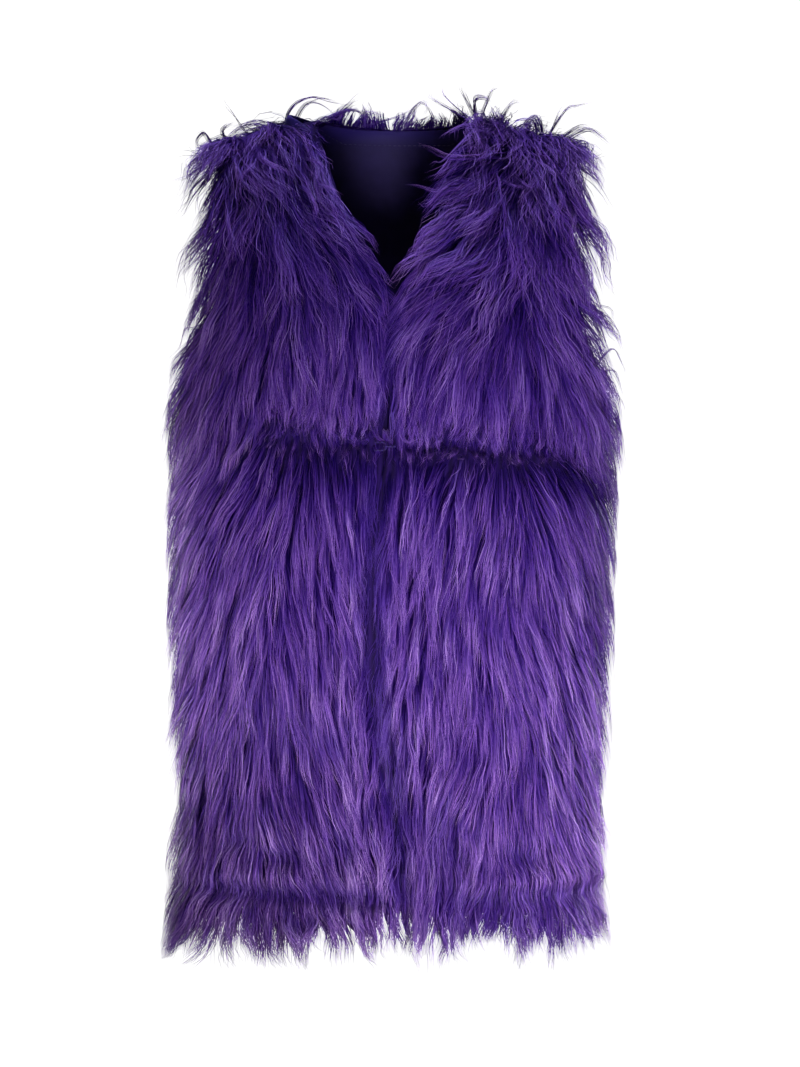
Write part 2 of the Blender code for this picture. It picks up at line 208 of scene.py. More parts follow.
# Such places that are the same on both sides of the garment, given for the wearer's left
EVEN_TUFTS = (
    ("front", 190, -400, 34, 0.10, 1.3, 1.1, 1.1, 1.00),
    ("front", 188, -500, 34, 0.10, 1.3, 1.1, 1.1, 1.00),
    ("front", 185, -600, 34, 0.08, 1.2, 1.1, 1.1, 1.00),
    ("front", 150, -712, 40, 0.10, 1.8, 1.35, 3.0, 1.00),
    ("front", 70, -712, 40, 0.10, 1.9, 1.35, 3.0, 1.00),
    ("back", 140, -8, 36, 0.10, 2.2, 1.8, 1.5, 0.75),
    ("back", 95, 4, 26, 0.10, 2.2, 1.9, 1.5, 0.70),
    ("back", 45, 6, 24, 0.05, 1.2, 0.6, 5.5, 0.36),
    ("back", 165, -120, 40, 0.12, 1.4, 1.3, 1.4, 0.85),
    ("back", 180, -240, 40, 0.12, 1.3, 1.2, 1.2, 0.90),
    ("back", 120, -705, 60, 0.05, 1.3, 1.0, 1.7, 1.00),
)

# Lines along which the pile is pressed in and darkened with painted shade: a row for each stretch, from one
# place to another
PRESS_COLUMNS = ("side", "from_x", "from_z", "to_x", "to_z", "width", "press")
PRESSES = (
    ("front", -128, -284, -95, -279, 9, 0.40),
    ("front", -95, -279, -50, -283, 9, 0.80),
    ("front", -50, -282, -4, -286, 8, 0.90),
    ("front", -4, -286, 40, -284, 7, 0.85),
    ("front", 40, -284, 110, -292, 7, 0.78),
    ("front", 110, -292, 178, -298, 7, 0.55),
    ("front", -131, -650, -100, -657, 4.5, 0.95),
    ("front", -100, -657, -55, -670, 4.5, 0.95),
    ("front", -55, -670, -42, -650, 4.5, 0.95),
    ("front", -42, -650, -20, -641, 4.5, 0.95),
    ("front", -29, -619, -13, -620, 4, 0.70),
    ("front", -195, -700, -150, -695, 4.5, 0.55),
    ("front", -150, -695, -4, -694, 4.5, 0.95),
    ("front", 61, -661, 79, -670, 4.5, 0.95),
    ("front", 79, -670, 132, -657, 4.5, 0.95),
    ("front", 60, -700, 172, -697, 8, 0.90),
    ("front", -95, -60, -60, -150, 34, 0.45),
    ("front", -62, -30, -14, -145, 20, 0.40),
    ("front", -105, -552, -45, -560, 26, 0.35),
    ("front", 38, -628, 52, -690, 20, 0.45),
    ("front", 52, -690, 90, -698, 12, 0.50),
    ("front", 0, -165, -4, -291, 5, 0.65),
    ("front", -6, -264, -4, -290, 11, 0.90),
    ("front", -4, -291, -15, -340, 10, 0.92),
    ("front", -15, -340, -17, -430, 10, 0.92),
    ("front", -17, -430, -12, -520, 11, 0.92),
    ("front", -12, -520, 7, -610, 11, 0.90),
    ("front", 7, -610, 16, -690, 8, 0.78),
    ("front", 16, -690, 17, -740, 6, 0.50),
    ("back", -130, -296, -60, -288, 10, 0.55),
    ("back", -60, -288, 30, -292, 11, 0.80),
    ("back", 30, -292, 140, -286, 10, 0.60),
    ("back", -120, -655, -40, -668, 8, 0.50),
    ("back", -40, -668, 10, -650, 8, 0.50),
    ("back", 60, -664, 140, -655, 8, 0.50),
)

# How far the tips at the hem end above or below their middle height, from side to side
TIP_LINE = (
    (-200, 2), (-165, -26), (-143, -26), (-120, -8), (-98, -7), (-76, -10), (-53, -6), (-31, -4), (-9, 4),
    (14, -6), (36, -8), (58, 12), (81, 6), (103, 3), (126, -10), (148, -9), (170, -8), (195, 20),
)

# Where the fronts part: how far below the neck and how far across
PARTING = ((165, 0), (291, -4), (340, -15), (430, -17), (520, -12), (610, 7), (690, 16))

# Loose locks that stand off the combed pile of each panel: how thick a lock is at its root, how far it
# stands off the cloth, and its path as places across and up
LOOSE_LOCKS = {
    "front_right": (
        (3.0, 12, (-169, -18), (-173, -7), (-179, 1), (-185, -5), (-182, -12), (-173, -15)),
        (1.2, 10, (-140, 11), (-154, 22), (-160, 31), (-161, 41)),
        (5.0, 28, (-130, -19), (-139, -10), (-147, -7), (-154, -12),
         (-152, -20), (-143, -21), (-135, -14)),
        (5.0, 25, (-111, 12), (-128, 10), (-143, 6), (-154, -4), (-158, -15)),
        (4.0, 25, (-108, 8), (-122, 4), (-137, 1), (-150, 1), (-164, -5)),
        (1.6, 10, (-104, 6), (-101, 20), (-92, 31), (-78, 36), (-64, 33), (-52, 30), (-43, 27)),
        (1.8, 10, (-99, 8), (-90, 24), (-81, 31), (-70, 29), (-60, 20), (-52, 9)),
        (1.0, 10, (-96, 10), (-86, 27), (-72, 35), (-58, 33), (-46, 25)),
        (4.5, 27, (-126, -16), (-123, -29), (-113, -36), (-101, -41), (-91, -47), (-93, -54)),
        (4.0, 26, (-139, -22), (-146, -33), (-144, -44), (-147, -55)),
        (4.5, 27, (-121, -23), (-133, -38), (-141, -48), (-142, -60), (-138, -73)),
        (4.5, 25, (-104, 12), (-94, 0), (-83, -11), (-78, -26), (-75, -42)),
        (2.5, 10, (-170, -29), (-182, -32), (-190, -38), (-189, -46), (-182, -48)),
        (1.2, 9, (-176, -32), (-191, -39), (-204, -46), (-215, -51)),
        (1.2, 9, (-180, -65), (-193, -69), (-206, -73)),
        (3.0, 11, (-158, -5), (-162, 3), (-155, 10), (-146, 13)),
        (3.5, 26, (-87, -53), (-76, -66), (-71, -80), (-74, -95)),
        (3.5, 26, (-145, -73), (-152, -87), (-148, -104), (-153, -118)),
        (2.2, 26, (-85, -27), (-72, -33), (-59, -40)),
        (2.2, 26, (-77, -52), (-60, -58), (-45, -66)),
        (1.8, 13, (-184, -215), (-196, -226), (-205, -243), (-212, -262), (-214, -280)),
        (2.2, 13, (-186, -232), (-197, -247), (-205, -264), (-213, -279), (-216, -298)),
        (1.0, 12, (-184, -204), (-194, -212), (-203, -223), (-212, -228)),
        (0.8, 12, (-182, -196), (-191, -206), (-201, -209), (-207, -204)),
        (2.0, 12, (-190, -292), (-200, -308), (-207, -326), (-212, -348)),
        (1.6, 12, (-187, -305), (-198, -325), (-207, -341), (-209, -358)),
        (1.2, 12, (-190, -270), (-203, -283), (-211, -301), (-216, -312)),
        (1.2, 11, (-180, -112), (-190, -131), (-190, -150), (-198, -167)),
        (1.2, 11, (-182, -165), (-190, -183), (-195, -198), (-203, -209)),
        (1.6, 12, (-160, -696), (-156, -718), (-150, -738), (-145, -757)),
        (1.4, 12, (-148, -698), (-139, -722), (-126, -741), (-109, -755)),
        (1.2, 12, (-134, -699), (-128, -722), (-118, -740), (-103, -750)),
        (1.2, 12, (-100, -698), (-94, -722), (-84, -740), (-70, -751)),
        (1.0, 12, (-76, -699), (-72, -722), (-62, -739), (-48, -747)),
        (1.2, 12, (-44, -698), (-41, -720), (-34, -738), (-26, -748)),
        (1.0, 12, (-22, -697), (-24, -720), (-30, -738), (-33, -747)),
        (4.5, 8, (-163, -75), (-174, -93), (-181, -113), (-185, -135)),
        (4.5, 8, (-163, -105), (-175, -123), (-183, -143), (-188, -166)),
        (4.5, 8, (-164, -135), (-177, -153), (-186, -174), (-192, -197)),
        (4.0, 8, (-167, -165), (-181, -183), (-190, -204), (-197, -228)),
        (3.0, 9, (-1, -267), (-7, -276), (-2, -286), (3, -280)),
        (3.0, 9, (-19, -271), (-14, -282), (-6, -288), (-12, -297)),
    ),
    "front_left": (
        (2.6, 11, (70, 27), (63, 38), (59, 47), (64, 55)),
        (2.2, 11, (77, 32), (86, 41), (91, 46), (98, 47)),
        (4.0, 12, (64, 23), (73, 35), (83, 37), (92, 31)),
        (3.0, 11, (96, 25), (107, 33), (117, 30)),
        (3.6, 27, (86, -3), (68, 5), (54, 2), (43, -5), (41, -11)),
        (4.2, 29, (100, -21), (82, -25), (63, -27), (46, -27), (33, -21), (22, -17), (13, -11)),
        (1.8, 29, (58, -26), (44, -27), (35, -31), (28, -38), (21, -41)),
        (3.6, 29, (76, -52), (59, -49), (46, -55), (36, -61), (22, -57), (8, -56)),
        (2.8, 29, (64, -51), (46, -57), (33, -69), (24, -74), (18, -67)),
        (2.4, 10, (144, 18), (156, 26), (168, 31), (185, 37)),
        (1.8, 10, (148, 20), (153, 30), (158, 36)),
        (3.4, 11, (153, 10), (175, 8), (190, 2), (204, -11)),
        (2.6, 11, (151, 15), (170, 12), (185, 5)),
        (1.6, 11, (165, -9), (180, -21), (190, -32)),
        (5.5, 27, (99, 21), (89, 10), (79, -2), (79, -14), (87, -20), (101, -18)),
        (5.5, 27, (117, 15), (122, -2), (127, -14), (136, -26), (139, -42)),
        (5.5, 27, (126, 10), (138, -4), (150, -14), (157, -23), (153, -33)),
        (4.0, 28, (106, -41), (113, -50), (121, -54), (126, -48), (121, -39)),
        (3.0, 30, (93, -45), (107, -54), (125, -56)),
        (4.5, 27, (142, -47), (150, -61), (147, -75), (137, -88)),
        (4.5, 25, (160, -20), (177, -35), (187, -47), (182, -56)),
        (3.0, 25, (171, -62), (182, -74), (190, -91)),
        (5.0, 27, (143, 20), (128, 17), (118, 9), (114, -4), (104, -16)),
        (5.0, 28, (131, -35), (126, -49), (115, -64), (110, -82)),
        (4.5, 28, (155, -63), (162, -79), (159, -97), (166, -115)),
        (4.5, 28, (95, -60), (88, -75), (75, -87), (68, -106)),
        (1.6, 12, (188, -186), (199, -196), (209, -208), (216, -226)),
        (2.0, 12, (190, -200), (201, -214), (209, -230), (214, -249)),
        (1.4, 12, (192, -220), (202, -234), (211, -243), (216, -256)),
        (2.0, 12, (190, -255), (203, -268), (211, -282), (215, -299)),
        (1.6, 12, (191, -272), (203, -284), (212, -296), (216, -313)),
        (0.9, 12, (192, -262), (205, -268), (213, -272), (217, -282)),
        (1.4, 11, (183, -96), (193, -114), (196, -133), (203, -148)),
        (1.2, 11, (185, -142), (195, -160), (198, -179), (207, -194)),
        (1.4, 12, (8, -696), (6, -720), (11, -742), (19, -757)),
        (1.4, 12, (46, -698), (44, -716), (38, -734), (30, -748)),
        (1.6, 12, (57, -697), (58, -720), (66, -741), (79, -756)),
        (1.6, 12, (78, -694), (80, -714), (85, -734), (93, -746)),
        (1.6, 12, (114, -696), (116, -722), (121, -744), (127, -760)),
        (1.2, 12, (130, -697), (133, -720), (141, -738), (151, -746)),
        (1.0, 12, (158, -697), (162, -716), (160, -733), (154, -743)),
        (5.0, 8, (164, -70), (176, -88), (184, -108), (188, -130)),
        (5.0, 8, (164, -95), (177, -113), (186, -133), (191, -156)),
        (5.0, 8, (163, -120), (177, -138), (187, -158), (193, -181)),
        (5.0, 8, (164, -145), (178, -163), (189, -184), (196, -206)),
        (4.0, 8, (168, -170), (182, -188), (192, -208), (199, -232)),
        (3.5, 12, (14, -269), (8, -280), (14, -287), (25, -282)),
    ),
    "back": (
        (2.0, 6, (-80, 21), (-67, 20), (-55, 18), (-52, 27), (-51, 37)),
        (3.0, 4, (1, 19), (12, 31), (22, 41), (28, 36), (23, 25)),
        (2.5, 4, (-12, 19), (1, 28), (14, 34), (25, 30)),
        (2.0, 4, (31, 20), (36, 38), (31, 48), (37, 54)),
        (1.6, 4, (38, 24), (43, 43), (47, 58)),
        (3.0, 4, (-43, 14), (-33, 26), (-22, 30), (-11, 24)),
        (3.0, 4, (-54, 16), (-43, 28), (-29, 25), (-20, 18)),
    ),
}

# Soft creases of the cloth itself, fur cloth and lining together: depth is how far they sink in
CREASE_COLUMNS = ("side", "from_x", "from_z", "to_x", "to_z", "width", "depth")
CREASES = (
    ("front", -100, -287, -4, -291, 11, 4.5),
    ("front", -4, -291, 60, -288, 11, 4.5),
    ("front", 60, -288, 110, -296, 11, 4.0),
    ("front", 110, -296, 170, -301, 11, 2.0),
    ("back", -110, -292, 20, -290, 14, 4.0),
    ("back", 20, -290, 130, -288, 14, 3.5),
)

# Creases of the lining alone: the ease pleat down its back, and soft folds
LINING_CREASES = (
    ("back", 30, -18, 33, -120, 4.0, 2.2),
    ("back", -60, -60, -40, -150, 14, 3.0),
    ("back", 70, -70, 50, -170, 12, 2.5),
    ("back", -20, -200, -50, -330, 16, 3.0),
    ("back", 90, -330, 70, -520, 18, 3.0),
    ("back", -100, -400, -90, -600, 18, 3.0),
    ("front", -110, -320, -100, -520, 16, 3.0),
    ("front", 120, -330, 110, -540, 16, 3.0),
    ("front", 60, -380, 66, -620, 14, 2.5),
)

# Where the lining's edge rolls out over the fur: a place, how far around it is felt, and its move
TURN_COLUMNS = ("piece", "x", "y", "z", "spread", "move_x", "move_y", "move_z")
LINING_TURNS = tuple(
    (piece, -74, 3, 13, 24, -22, -12, 7) for piece in ("lining_front_right", "lining_back")
)

# The foot of each armhole, where the cloth rises to a round edge and front and back move together
ARMHOLE_FEET = tuple(
    (side, x, 0, -247, 12, 0, together, 12)
    for side, together in (("front", 1.1), ("back", -1.1))
    for x in (-181, 181)
)


class PileSizes(bpy.types.PropertyGroup):
    """Sizes of the pile."""

    length: bpy.props.FloatProperty(
        name="Length", description="Length of a long strand", default=PILE_LENGTH * MM, unit="LENGTH"
    )
    height: bpy.props.FloatProperty(
        name="Height", description="How far the combed pile stands off the cloth",
        default=14 * MM, unit="LENGTH"
    )
    width: bpy.props.FloatProperty(
        name="Strand width", description="Width of a strand at its widest", default=0.80 * MM, unit="LENGTH"
    )
    lock: bpy.props.FloatProperty(
        name="Lock spacing", description="Distance between neighbouring locks",
        default=9 * MM, unit="LENGTH"
    )
    tuft: bpy.props.FloatProperty(
        name="Tuft spacing", description="Distance between neighbouring tufts of locks",
        default=24 * MM, unit="LENGTH"
    )
    pull: bpy.props.FloatProperty(
        name="Lock pull", description="How far a lock's tips draw together", default=0.84, subtype="FACTOR"
    )
    wave: bpy.props.FloatProperty(
        name="Wave", description="How far a strand swings to the side", default=2.2 * MM, unit="LENGTH"
    )
    density: bpy.props.FloatProperty(
        name="Density", description="Long strands for each square metre of a front", default=115000
    )
    seed: bpy.props.IntProperty(name="Seed", description="Seed of the pile's chance", default=7)


class ClothSizes(bpy.types.PropertyGroup):
    """Sizes of the cloth shells."""

    backing: bpy.props.FloatProperty(
        name="Backing", description="Thickness of the fur's knitted backing",
        default=1.5 * MM, unit="LENGTH"
    )
    satin: bpy.props.FloatProperty(
        name="Satin", description="Thickness of the lining", default=0.6 * MM, unit="LENGTH"
    )


class StageSizes(bpy.types.PropertyGroup):
    """Camera of the stage."""

    distance: bpy.props.FloatProperty(
        name="Camera distance", description="From the camera to the garment's middle",
        default=3.2, unit="LENGTH"
    )
    pixel: bpy.props.FloatProperty(
        name="Pixel size", description="Width of one photo pixel at the garment's middle", default=0.93 * MM
    )
    centre_x: bpy.props.FloatProperty(
        name="Centre across", description="Where the middle of the picture lies",
        default=7.5 * MM, unit="LENGTH"
    )
    centre_z: bpy.props.FloatProperty(
        name="Centre height", description="Height of the middle of the picture",
        default=-368 * MM, unit="LENGTH"
    )
    roll: bpy.props.FloatProperty(
        name="Roll", description="Turn of the camera on its axis",
        default=math.radians(-0.7), subtype="ANGLE"
    )


def linear(code):
    """An sRGB hex colour as linear red, green, blue and alpha."""
    parts = [int(code[i : i + 2], 16) / 255 for i in (1, 3, 5)]
    return [p / 12.92 if p <= 0.04045 else ((p + 0.055) / 1.055) ** 2.4 for p in parts] + [1.0]


def add(tree, kind, *feeds, by_name=None, **settings):
    """Adds a node with its settings. Feeds its inputs, in order or by name, with values or other nodes."""
    node = tree.nodes.new(kind)
    for name, value in settings.items():
        setattr(node, name, value)
    sockets = [socket for socket in node.inputs if socket.enabled]
    pairs = list(zip(sockets, feeds))
    for name, value in (by_name or {}).items():
        pairs.append((next(socket for socket in sockets if socket.name == name), value))
    for socket, value in pairs:
        if isinstance(value, bpy.types.Node):
            value = next(output for output in value.outputs if output.enabled)
        if isinstance(value, bpy.types.NodeSocket):
            tree.links.new(value, socket)
        elif value is not None:
            socket.default_value = value
    return node


def work_out(tree, known, steps):
    """Adds a node for each row of a table: what it makes, its kind, its operation and what feeds it."""
    for name, kind, operation, *feeds in steps:
        feeds = [known.get(feed, feed) if isinstance(feed, str) else feed for feed in feeds]
        known[name] = add(tree, kind, *feeds, operation=operation)


def new_material(name, **constants):
    """A material with a Principled shader whose constant inputs are set."""
    material = bpy.data.materials.new(name)
    material.use_nodes = True
    shader = material.node_tree.nodes["Principled BSDF"]
    for key, value in constants.items():
        shader.inputs[key.replace("_", " ")].default_value = value
    return material, material.node_tree, shader


def set_stops(node, *stops):
    """Sets a colour ramp's stops, given as place and hex colour."""
    ramp = node.color_ramp
    while len(ramp.elements) > 1:
        ramp.elements.remove(ramp.elements[-1])
    for number, (place, code) in enumerate(stops):
        element = ramp.elements[0] if number == 0 else ramp.elements.new(place)
        element.position = place
        element.color = linear(code)


def fur_pile():
    """Long acrylic pile: painted shade darkens it towards the root and where it is pressed, paler and more
    violet at the tip, each strand its own tint.
    """
    material, tree, shader = new_material(
        "Acrylic fur pile", Roughness=0.36, Specular_IOR_Level=0.36, Specular_Tint=linear("#c4a2f4")
    )
    place = add(tree, "ShaderNodeUVMap", uv_map="OFBake")
    parts = add(tree, "ShaderNodeSeparateXYZ", place)
    tints = add(tree, "ShaderNodeValToRGB", parts.outputs["X"])
    set_stops(
        tints, (0.0, "#17073d"), (0.3, "#3e207a"), (0.55, "#6a4399"), (0.8, "#9169b8"), (1.0, "#b898d6")
    )
    # Painted shade: darker towards the root, deep in the pile, and where the pile is pressed
    depth = add(tree, "ShaderNodeValToRGB", parts.outputs["Y"])
    set_stops(depth, (0.0, "#40317c"), (0.4, "#9a8cc4"), (0.8, "#ffffff"), (1.0, "#ffffff"))
    colour = add(tree, "ShaderNodeMix", 1.0, tints, depth, data_type="RGBA", blend_type="MULTIPLY")
    tree.links.new(colour.outputs[2], shader.inputs["Base Color"])
    return material


def thread_bands(tree, shader, size, bend, dark, pale, relief=None):
    """Bands of thread across a piece, from dark to pale, and raised by a height and a strength.

    A band is 2 pi times size wide, coarser than the real threads, which are too fine to show.
    """
    place = add(tree, "ShaderNodeTexCoord").outputs["Object"]
    bands = add(
        tree, "ShaderNodeTexWave", place, by_name={"Scale": 1 / (WAVE_RATE * size), "Distortion": bend}
    )
    colour = add(tree, "ShaderNodeValToRGB", bands)
    set_stops(colour, (0.0, dark), (1.0, pale))
    tree.links.new(colour.outputs["Color"], shader.inputs["Base Color"])
    if relief:
        height, strength = relief
        raised = {"Height": bands, "Distance": height, "Strength": strength}
        bump = add(tree, "ShaderNodeBump", by_name=raised)
        tree.links.new(bump.outputs["Normal"], shader.inputs["Normal"])


def knitted_backing():
    """Warp-knitted polyester backing: dull, dark violet, with fine ribs of loops."""
    material, tree, shader = new_material("Knitted fur backing", Roughness=0.85, Specular_IOR_Level=0.1)
    thread_bands(tree, shader, 1.2 * MM, 2.0, "#160930", "#220f48", (0.3 * MM, 0.6))
    return material


def satin_lining():
    """Polyester satin: smooth deep indigo with a soft gloss and a faint slub, and painted light that makes
    it paler towards the neck.
    """
    material, tree, shader = new_material(
        "Indigo satin",
        Specular_IOR_Level=0.16,
        Sheen_Weight=0.05,
        Sheen_Roughness=0.4,
        Sheen_Tint=linear("#7d6fc0"),
    )
    place = add(tree, "ShaderNodeTexCoord").outputs["Object"]
    slub = add(tree, "ShaderNodeTexNoise", place, by_name={"Scale": 1 / (14 * MM), "Detail": 5.0})
    slub = slub.outputs["Fac"]
    colour = add(tree, "ShaderNodeValToRGB", slub)
    set_stops(colour, (0.3, "#1a123e"), (0.7, "#211848"))
    # Painted light: the higher the satin lies, the paler it is painted, towards the neck and the roll over
    # the shoulder, in place of light from above
    parts = add(tree, "ShaderNodeSeparateXYZ", place)
    height = add(
        tree, "ShaderNodeMapRange", parts.outputs["Z"], by_name={"From Min": -6 * MM, "From Max": 30 * MM}
    )
    painted_top_light = add(tree, "ShaderNodeValToRGB", height.outputs["Result"])
    set_stops(painted_top_light, (0.0, "#120c30"), (0.55, "#2e2460"), (1.0, "#8478c0"))
    colour = add(tree, "ShaderNodeMix", 1.0, colour, painted_top_light, data_type="RGBA", blend_type="LIGHTEN")
    tree.links.new(colour.outputs[2], shader.inputs["Base Color"])
    gloss = add(tree, "ShaderNodeMapRange", slub, by_name={"To Min": 0.50, "To Max": 0.60})
    tree.links.new(gloss.outputs["Result"], shader.inputs["Roughness"])
    threads = add(
        tree,
        "ShaderNodeTexWave",
        place,
        by_name={"Scale": 1 / (WAVE_RATE * 0.5 * MM), "Distortion": 1.0},
        bands_direction="Z",
    )
    bump = add(tree, "ShaderNodeBump", by_name={"Height": threads, "Distance": 0.05 * MM, "Strength": 0.4})
    tree.links.new(bump.outputs["Normal"], shader.inputs["Normal"])
    return material


def sewing_thread():
    """Spun polyester thread: dull dark indigo, with a fine twist."""
    material, tree, shader = new_material("Indigo sewing thread", Roughness=0.7)
    thread_bands(tree, shader, 0.5 * MM, 1.0, "#17123a", "#2a2158")
    return material


def covered_wire():
    """Wire bound with violet thread: fine turns across the wire, with a soft gloss."""
    material, tree, shader = new_material("Thread-covered wire", Roughness=0.55, Specular_IOR_Level=0.2)
    thread_bands(tree, shader, 0.6 * MM, 0.5, "#180b38", "#352064", (0.15 * MM, 0.7))
    return material


def studio_paper():
    """White background paper, lit from its own lamps so that it reads white: matt, with a faint tooth."""
    material, tree, shader = new_material(
        "White background paper", Roughness=0.9, Emission_Strength=1.0, Emission_Color=linear("#ffffff")
    )
    grain = add(tree, "ShaderNodeTexNoise", by_name={"Scale": 1 / (40 * MM)})
    colour = add(tree, "ShaderNodeValToRGB", grain.outputs["Fac"])
    set_stops(colour, (0.0, "#fbfbfb"), (1.0, "#ffffff"))
    tree.links.new(colour.outputs["Color"], shader.inputs["Base Color"])
    return material


def rows_of(columns, rows, side):
    """The rows of a table for one side, front or back, as dictionaries."""
    return [dict(zip(columns, row)) for row in rows if row[0] == side]


def on_both_sides(rows):
    """Each row of a table for the wearer's right and for the left."""
    return tuple((row[0], side * row[1], *row[2:]) for row in rows for side in (-1, 1))


def side_of(name):
    return "back" if name.endswith("back") else "front"


# Past this turn between faces a wall's inner face ends and its edge begins
EDGE_TURN = math.radians(50)
# How far below the sewn hem the cloth goes
HEM_TURN_UP = 6


def skin_of(name):
    """The inner face of a CAD cloth wall, turned to face out, as a mesh of quads."""
    out = 1 if side_of(name) == "back" else -1
    cells = bmesh.new()
    cells.from_mesh(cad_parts[name].data)
    bmesh.ops.remove_doubles(cells, verts=cells.verts, dist=0.02 * MM)
    cells.normal_update()
    seed = max(cells.faces, key=lambda face: -out * face.normal.y * face.calc_area())
    inner, reached = {seed}, [seed]
    while reached:
        for edge in reached.pop().edges:
            if len(edge.link_faces) == 2 and edge.calc_face_angle() < EDGE_TURN:
                fresh = [face for face in edge.link_faces if face not in inner]
                inner.update(fresh)
                reached.extend(fresh)
    hem = (HEM_HEIGHT - HEM_TURN_UP) * MM
    waste = [face for face in cells.faces if face not in inner or face.calc_center_median().z < hem]
    bmesh.ops.delete(cells, geom=waste, context="FACES")
    bmesh.ops.reverse_faces(cells, faces=cells.faces)
    bmesh.ops.join_triangles(cells, faces=cells.faces, angle_face_threshold=0.7, angle_shape_threshold=3.0)
    mesh = bpy.data.meshes.new(name)
    cells.to_mesh(mesh)
    cells.free()
    return mesh


def link(name, data):
    piece = bpy.data.objects.new(name, data)
    bpy.context.scene.collection.objects.link(piece)
    return piece


def plain_mesh(piece):
    """What a piece's modifiers make of it, as a mesh of its own."""
    graph = bpy.context.evaluated_depsgraph_get()
    made = piece.evaluated_get(graph)
    return bpy.data.meshes.new_from_object(made, preserve_all_data_layers=True, depsgraph=graph)


def settle(piece):
    """Turns a piece with modifiers into a plain mesh."""
    mesh = plain_mesh(piece)
    piece.modifiers.clear()
    piece.data = mesh


def read(mesh, what):
    """Vertex places or normals of a mesh, as an array with a row for each vertex."""
    source, key = (mesh.vertices, "co") if what == "co" else (mesh.vertex_normals, "vector")
    values = np.empty(len(mesh.vertices) * 3, np.float32)
    source.foreach_get(key, values)
    return values.reshape(-1, 3).astype(float)


def write(mesh, name, values):
    """Stores one number or one vector for each vertex."""
    values = np.asarray(values, np.float32)
    kind, key = ("FLOAT", "value") if values.ndim == 1 else ("FLOAT_VECTOR", "vector")
    store = mesh.attributes.new(name, kind, "POINT")
    store.data.foreach_set(key, values.ravel())


def move_to(mesh, places):
    """Moves a mesh's vertices to new places."""
    mesh.vertices.foreach_set("co", places.astype(np.float32).ravel())
    mesh.update()


def near_line(places, row):
    """How near each place is to a table row's stretch, 1 on it and fading over its width."""
    start = np.array((row["from_x"], row["from_z"])) * MM
    step = np.array((row["to_x"], row["to_z"])) * MM - start
    flat = places[:, [0, 2]] - start
    along = np.clip(flat @ step / (step @ step), 0, 1)
    away = np.linalg.norm(flat - along[:, None] * step, axis=1)
    return np.exp(-((away / (row["width"] * MM)) ** 2))


def sink(mesh, rows):
    """Moves a cloth mesh in along its creases."""
    places, normals = read(mesh, "co"), read(mesh, "normal")
    depth = np.zeros(len(places))
    for row in rows:
        depth = np.maximum(depth, near_line(places, row) * row["depth"] * MM)
    move_to(mesh, places - normals * depth[:, None])


def turn_out(mesh, rows):
    """Moves a cloth mesh where its edge rolls over or rises."""
    places = read(mesh, "co")
    for row in rows:
        middle = np.array((row["x"], row["y"], row["z"])) * MM
        away = np.linalg.norm(places - middle, axis=1) / (row["spread"] * MM)
        move = np.array((row["move_x"], row["move_y"], row["move_z"])) * MM
        places = places + np.exp(-(away**2))[:, None] * move
    move_to(mesh, places)


def smooth_cloth(name, mesh, creases, levels):
    """A finely divided cloth surface with its creases."""
    piece = link(name, mesh)
    rounding = piece.modifiers.new("Rounding", "SUBSURF")
    rounding.levels = levels
    rounding.render_levels = levels
    rounding.boundary_smooth = "PRESERVE_CORNERS"
    settle(piece)
    sink(piece.data, creases)
    return piece


def unit(vectors):
    return vectors / np.maximum(np.linalg.norm(vectors, axis=1), 1e-9)[:, None]


def ease(values, low, high):
    """0 at low and before, 1 at high and after, smooth between."""
    part = np.clip((values - low) / (high - low), 0, 1)
    return part * part * (3 - 2 * part)


def nap_at(name, x, z):
    """The sideways lean of the combed pile at each place of a panel, from its table."""
    rows = sorted(NAP[name])
    heights = np.array([row[0] for row in rows], float)
    across = np.array([np.interp(x, NAP_ACROSS[name], row[1:]) for row in rows])
    spot = np.clip(np.interp(z, heights, np.arange(len(rows))), 0, len(rows) - 1.001)
    low = spot.astype(int)
    part = spot - low
    column = np.arange(len(x))
    return across[low, column] * (1 - part) + across[low + 1, column] * part


# Bands in which the combing changes, in millimetres: where a change begins and where it is complete
SHOULDER_HEIGHT = (-90, -5)
SEAM_DEPTH = (6, 22)
SEAM_HEIGHT = (-50, -25)
SEAM_ACROSS = (62, 72)
RIM_HEIGHT = (-36, -8)
RIM_ACROSS = (64, 80)
PART_DROP = (150, 220)
PART_ACROSS = (6, 75)
THIN_DROP = (165, 200)
THIN_ACROSS = (3, 9)
CORNER_HEIGHT = (-690, -640)
CORNER_ACROSS = (170, 200)
FOLD_RIGHT_END = (-150, -105)
FOLD_LEFT_END = (150, 190)
FLANK_ACROSS = (140, 165)
FLANK_HEIGHT = (-280, -240)
HUNG_ABOVE = (4, 14)
HUNG_BESIDE = (12, 26)
CURLED_TANGLE = (1.25, 1.9)
CURLED_HEIGHT = (-560, -500)
FRINGE_HEIGHT = (HEM_HEIGHT + 90, HEM_HEIGHT + 120)

# How far the combing changes there, as a part of what it changes
SHOULDER_FALL = 1.2
RIM_STAND = 2.2
RIM_LOOSE = 0.75
SEAM_FULL = 0.7
SEAM_FLAT = 0.6
THIN_PART = 0.4
CORNER_TURN = 0.7
CORNER_SHORT = 0.5
FLANK_LOOSE = 0.4
HUNG_FREE = 0.75
SLEEK_THIN = 0.75
RIPPLE = 0.05

# How much further out the seam's change lies on the wearer's right, where the lining shows
SEAM_SHIFT = 34
# The waist fold's height above or below its middle, from side to side
FOLD_LINE = ((-110, 10), (0, 2), (140, -5))
# Half the height of the fold's lip, and how far above the fold the pile is rooted that hangs over it
FOLD_LIP = 4
HUNG_FROM = 100
# Where the hook is, from side to side
HOOK_ACROSS = -4
# The shortest that the pile may be at the waist fold and at the hem, as a part of its length
FOLD_LEAST = 0.16
HEM_LEAST = 0.3
# Waves that make the ends of the pile uneven: height, run across and start
UNEVEN = ((9, 11.3, 0.0), (7, 5.1, 1.0), (5, 29, 2.0))


def fold_height(x):
    return FOLD_HEIGHT + np.interp(x, *zip(*FOLD_LINE))


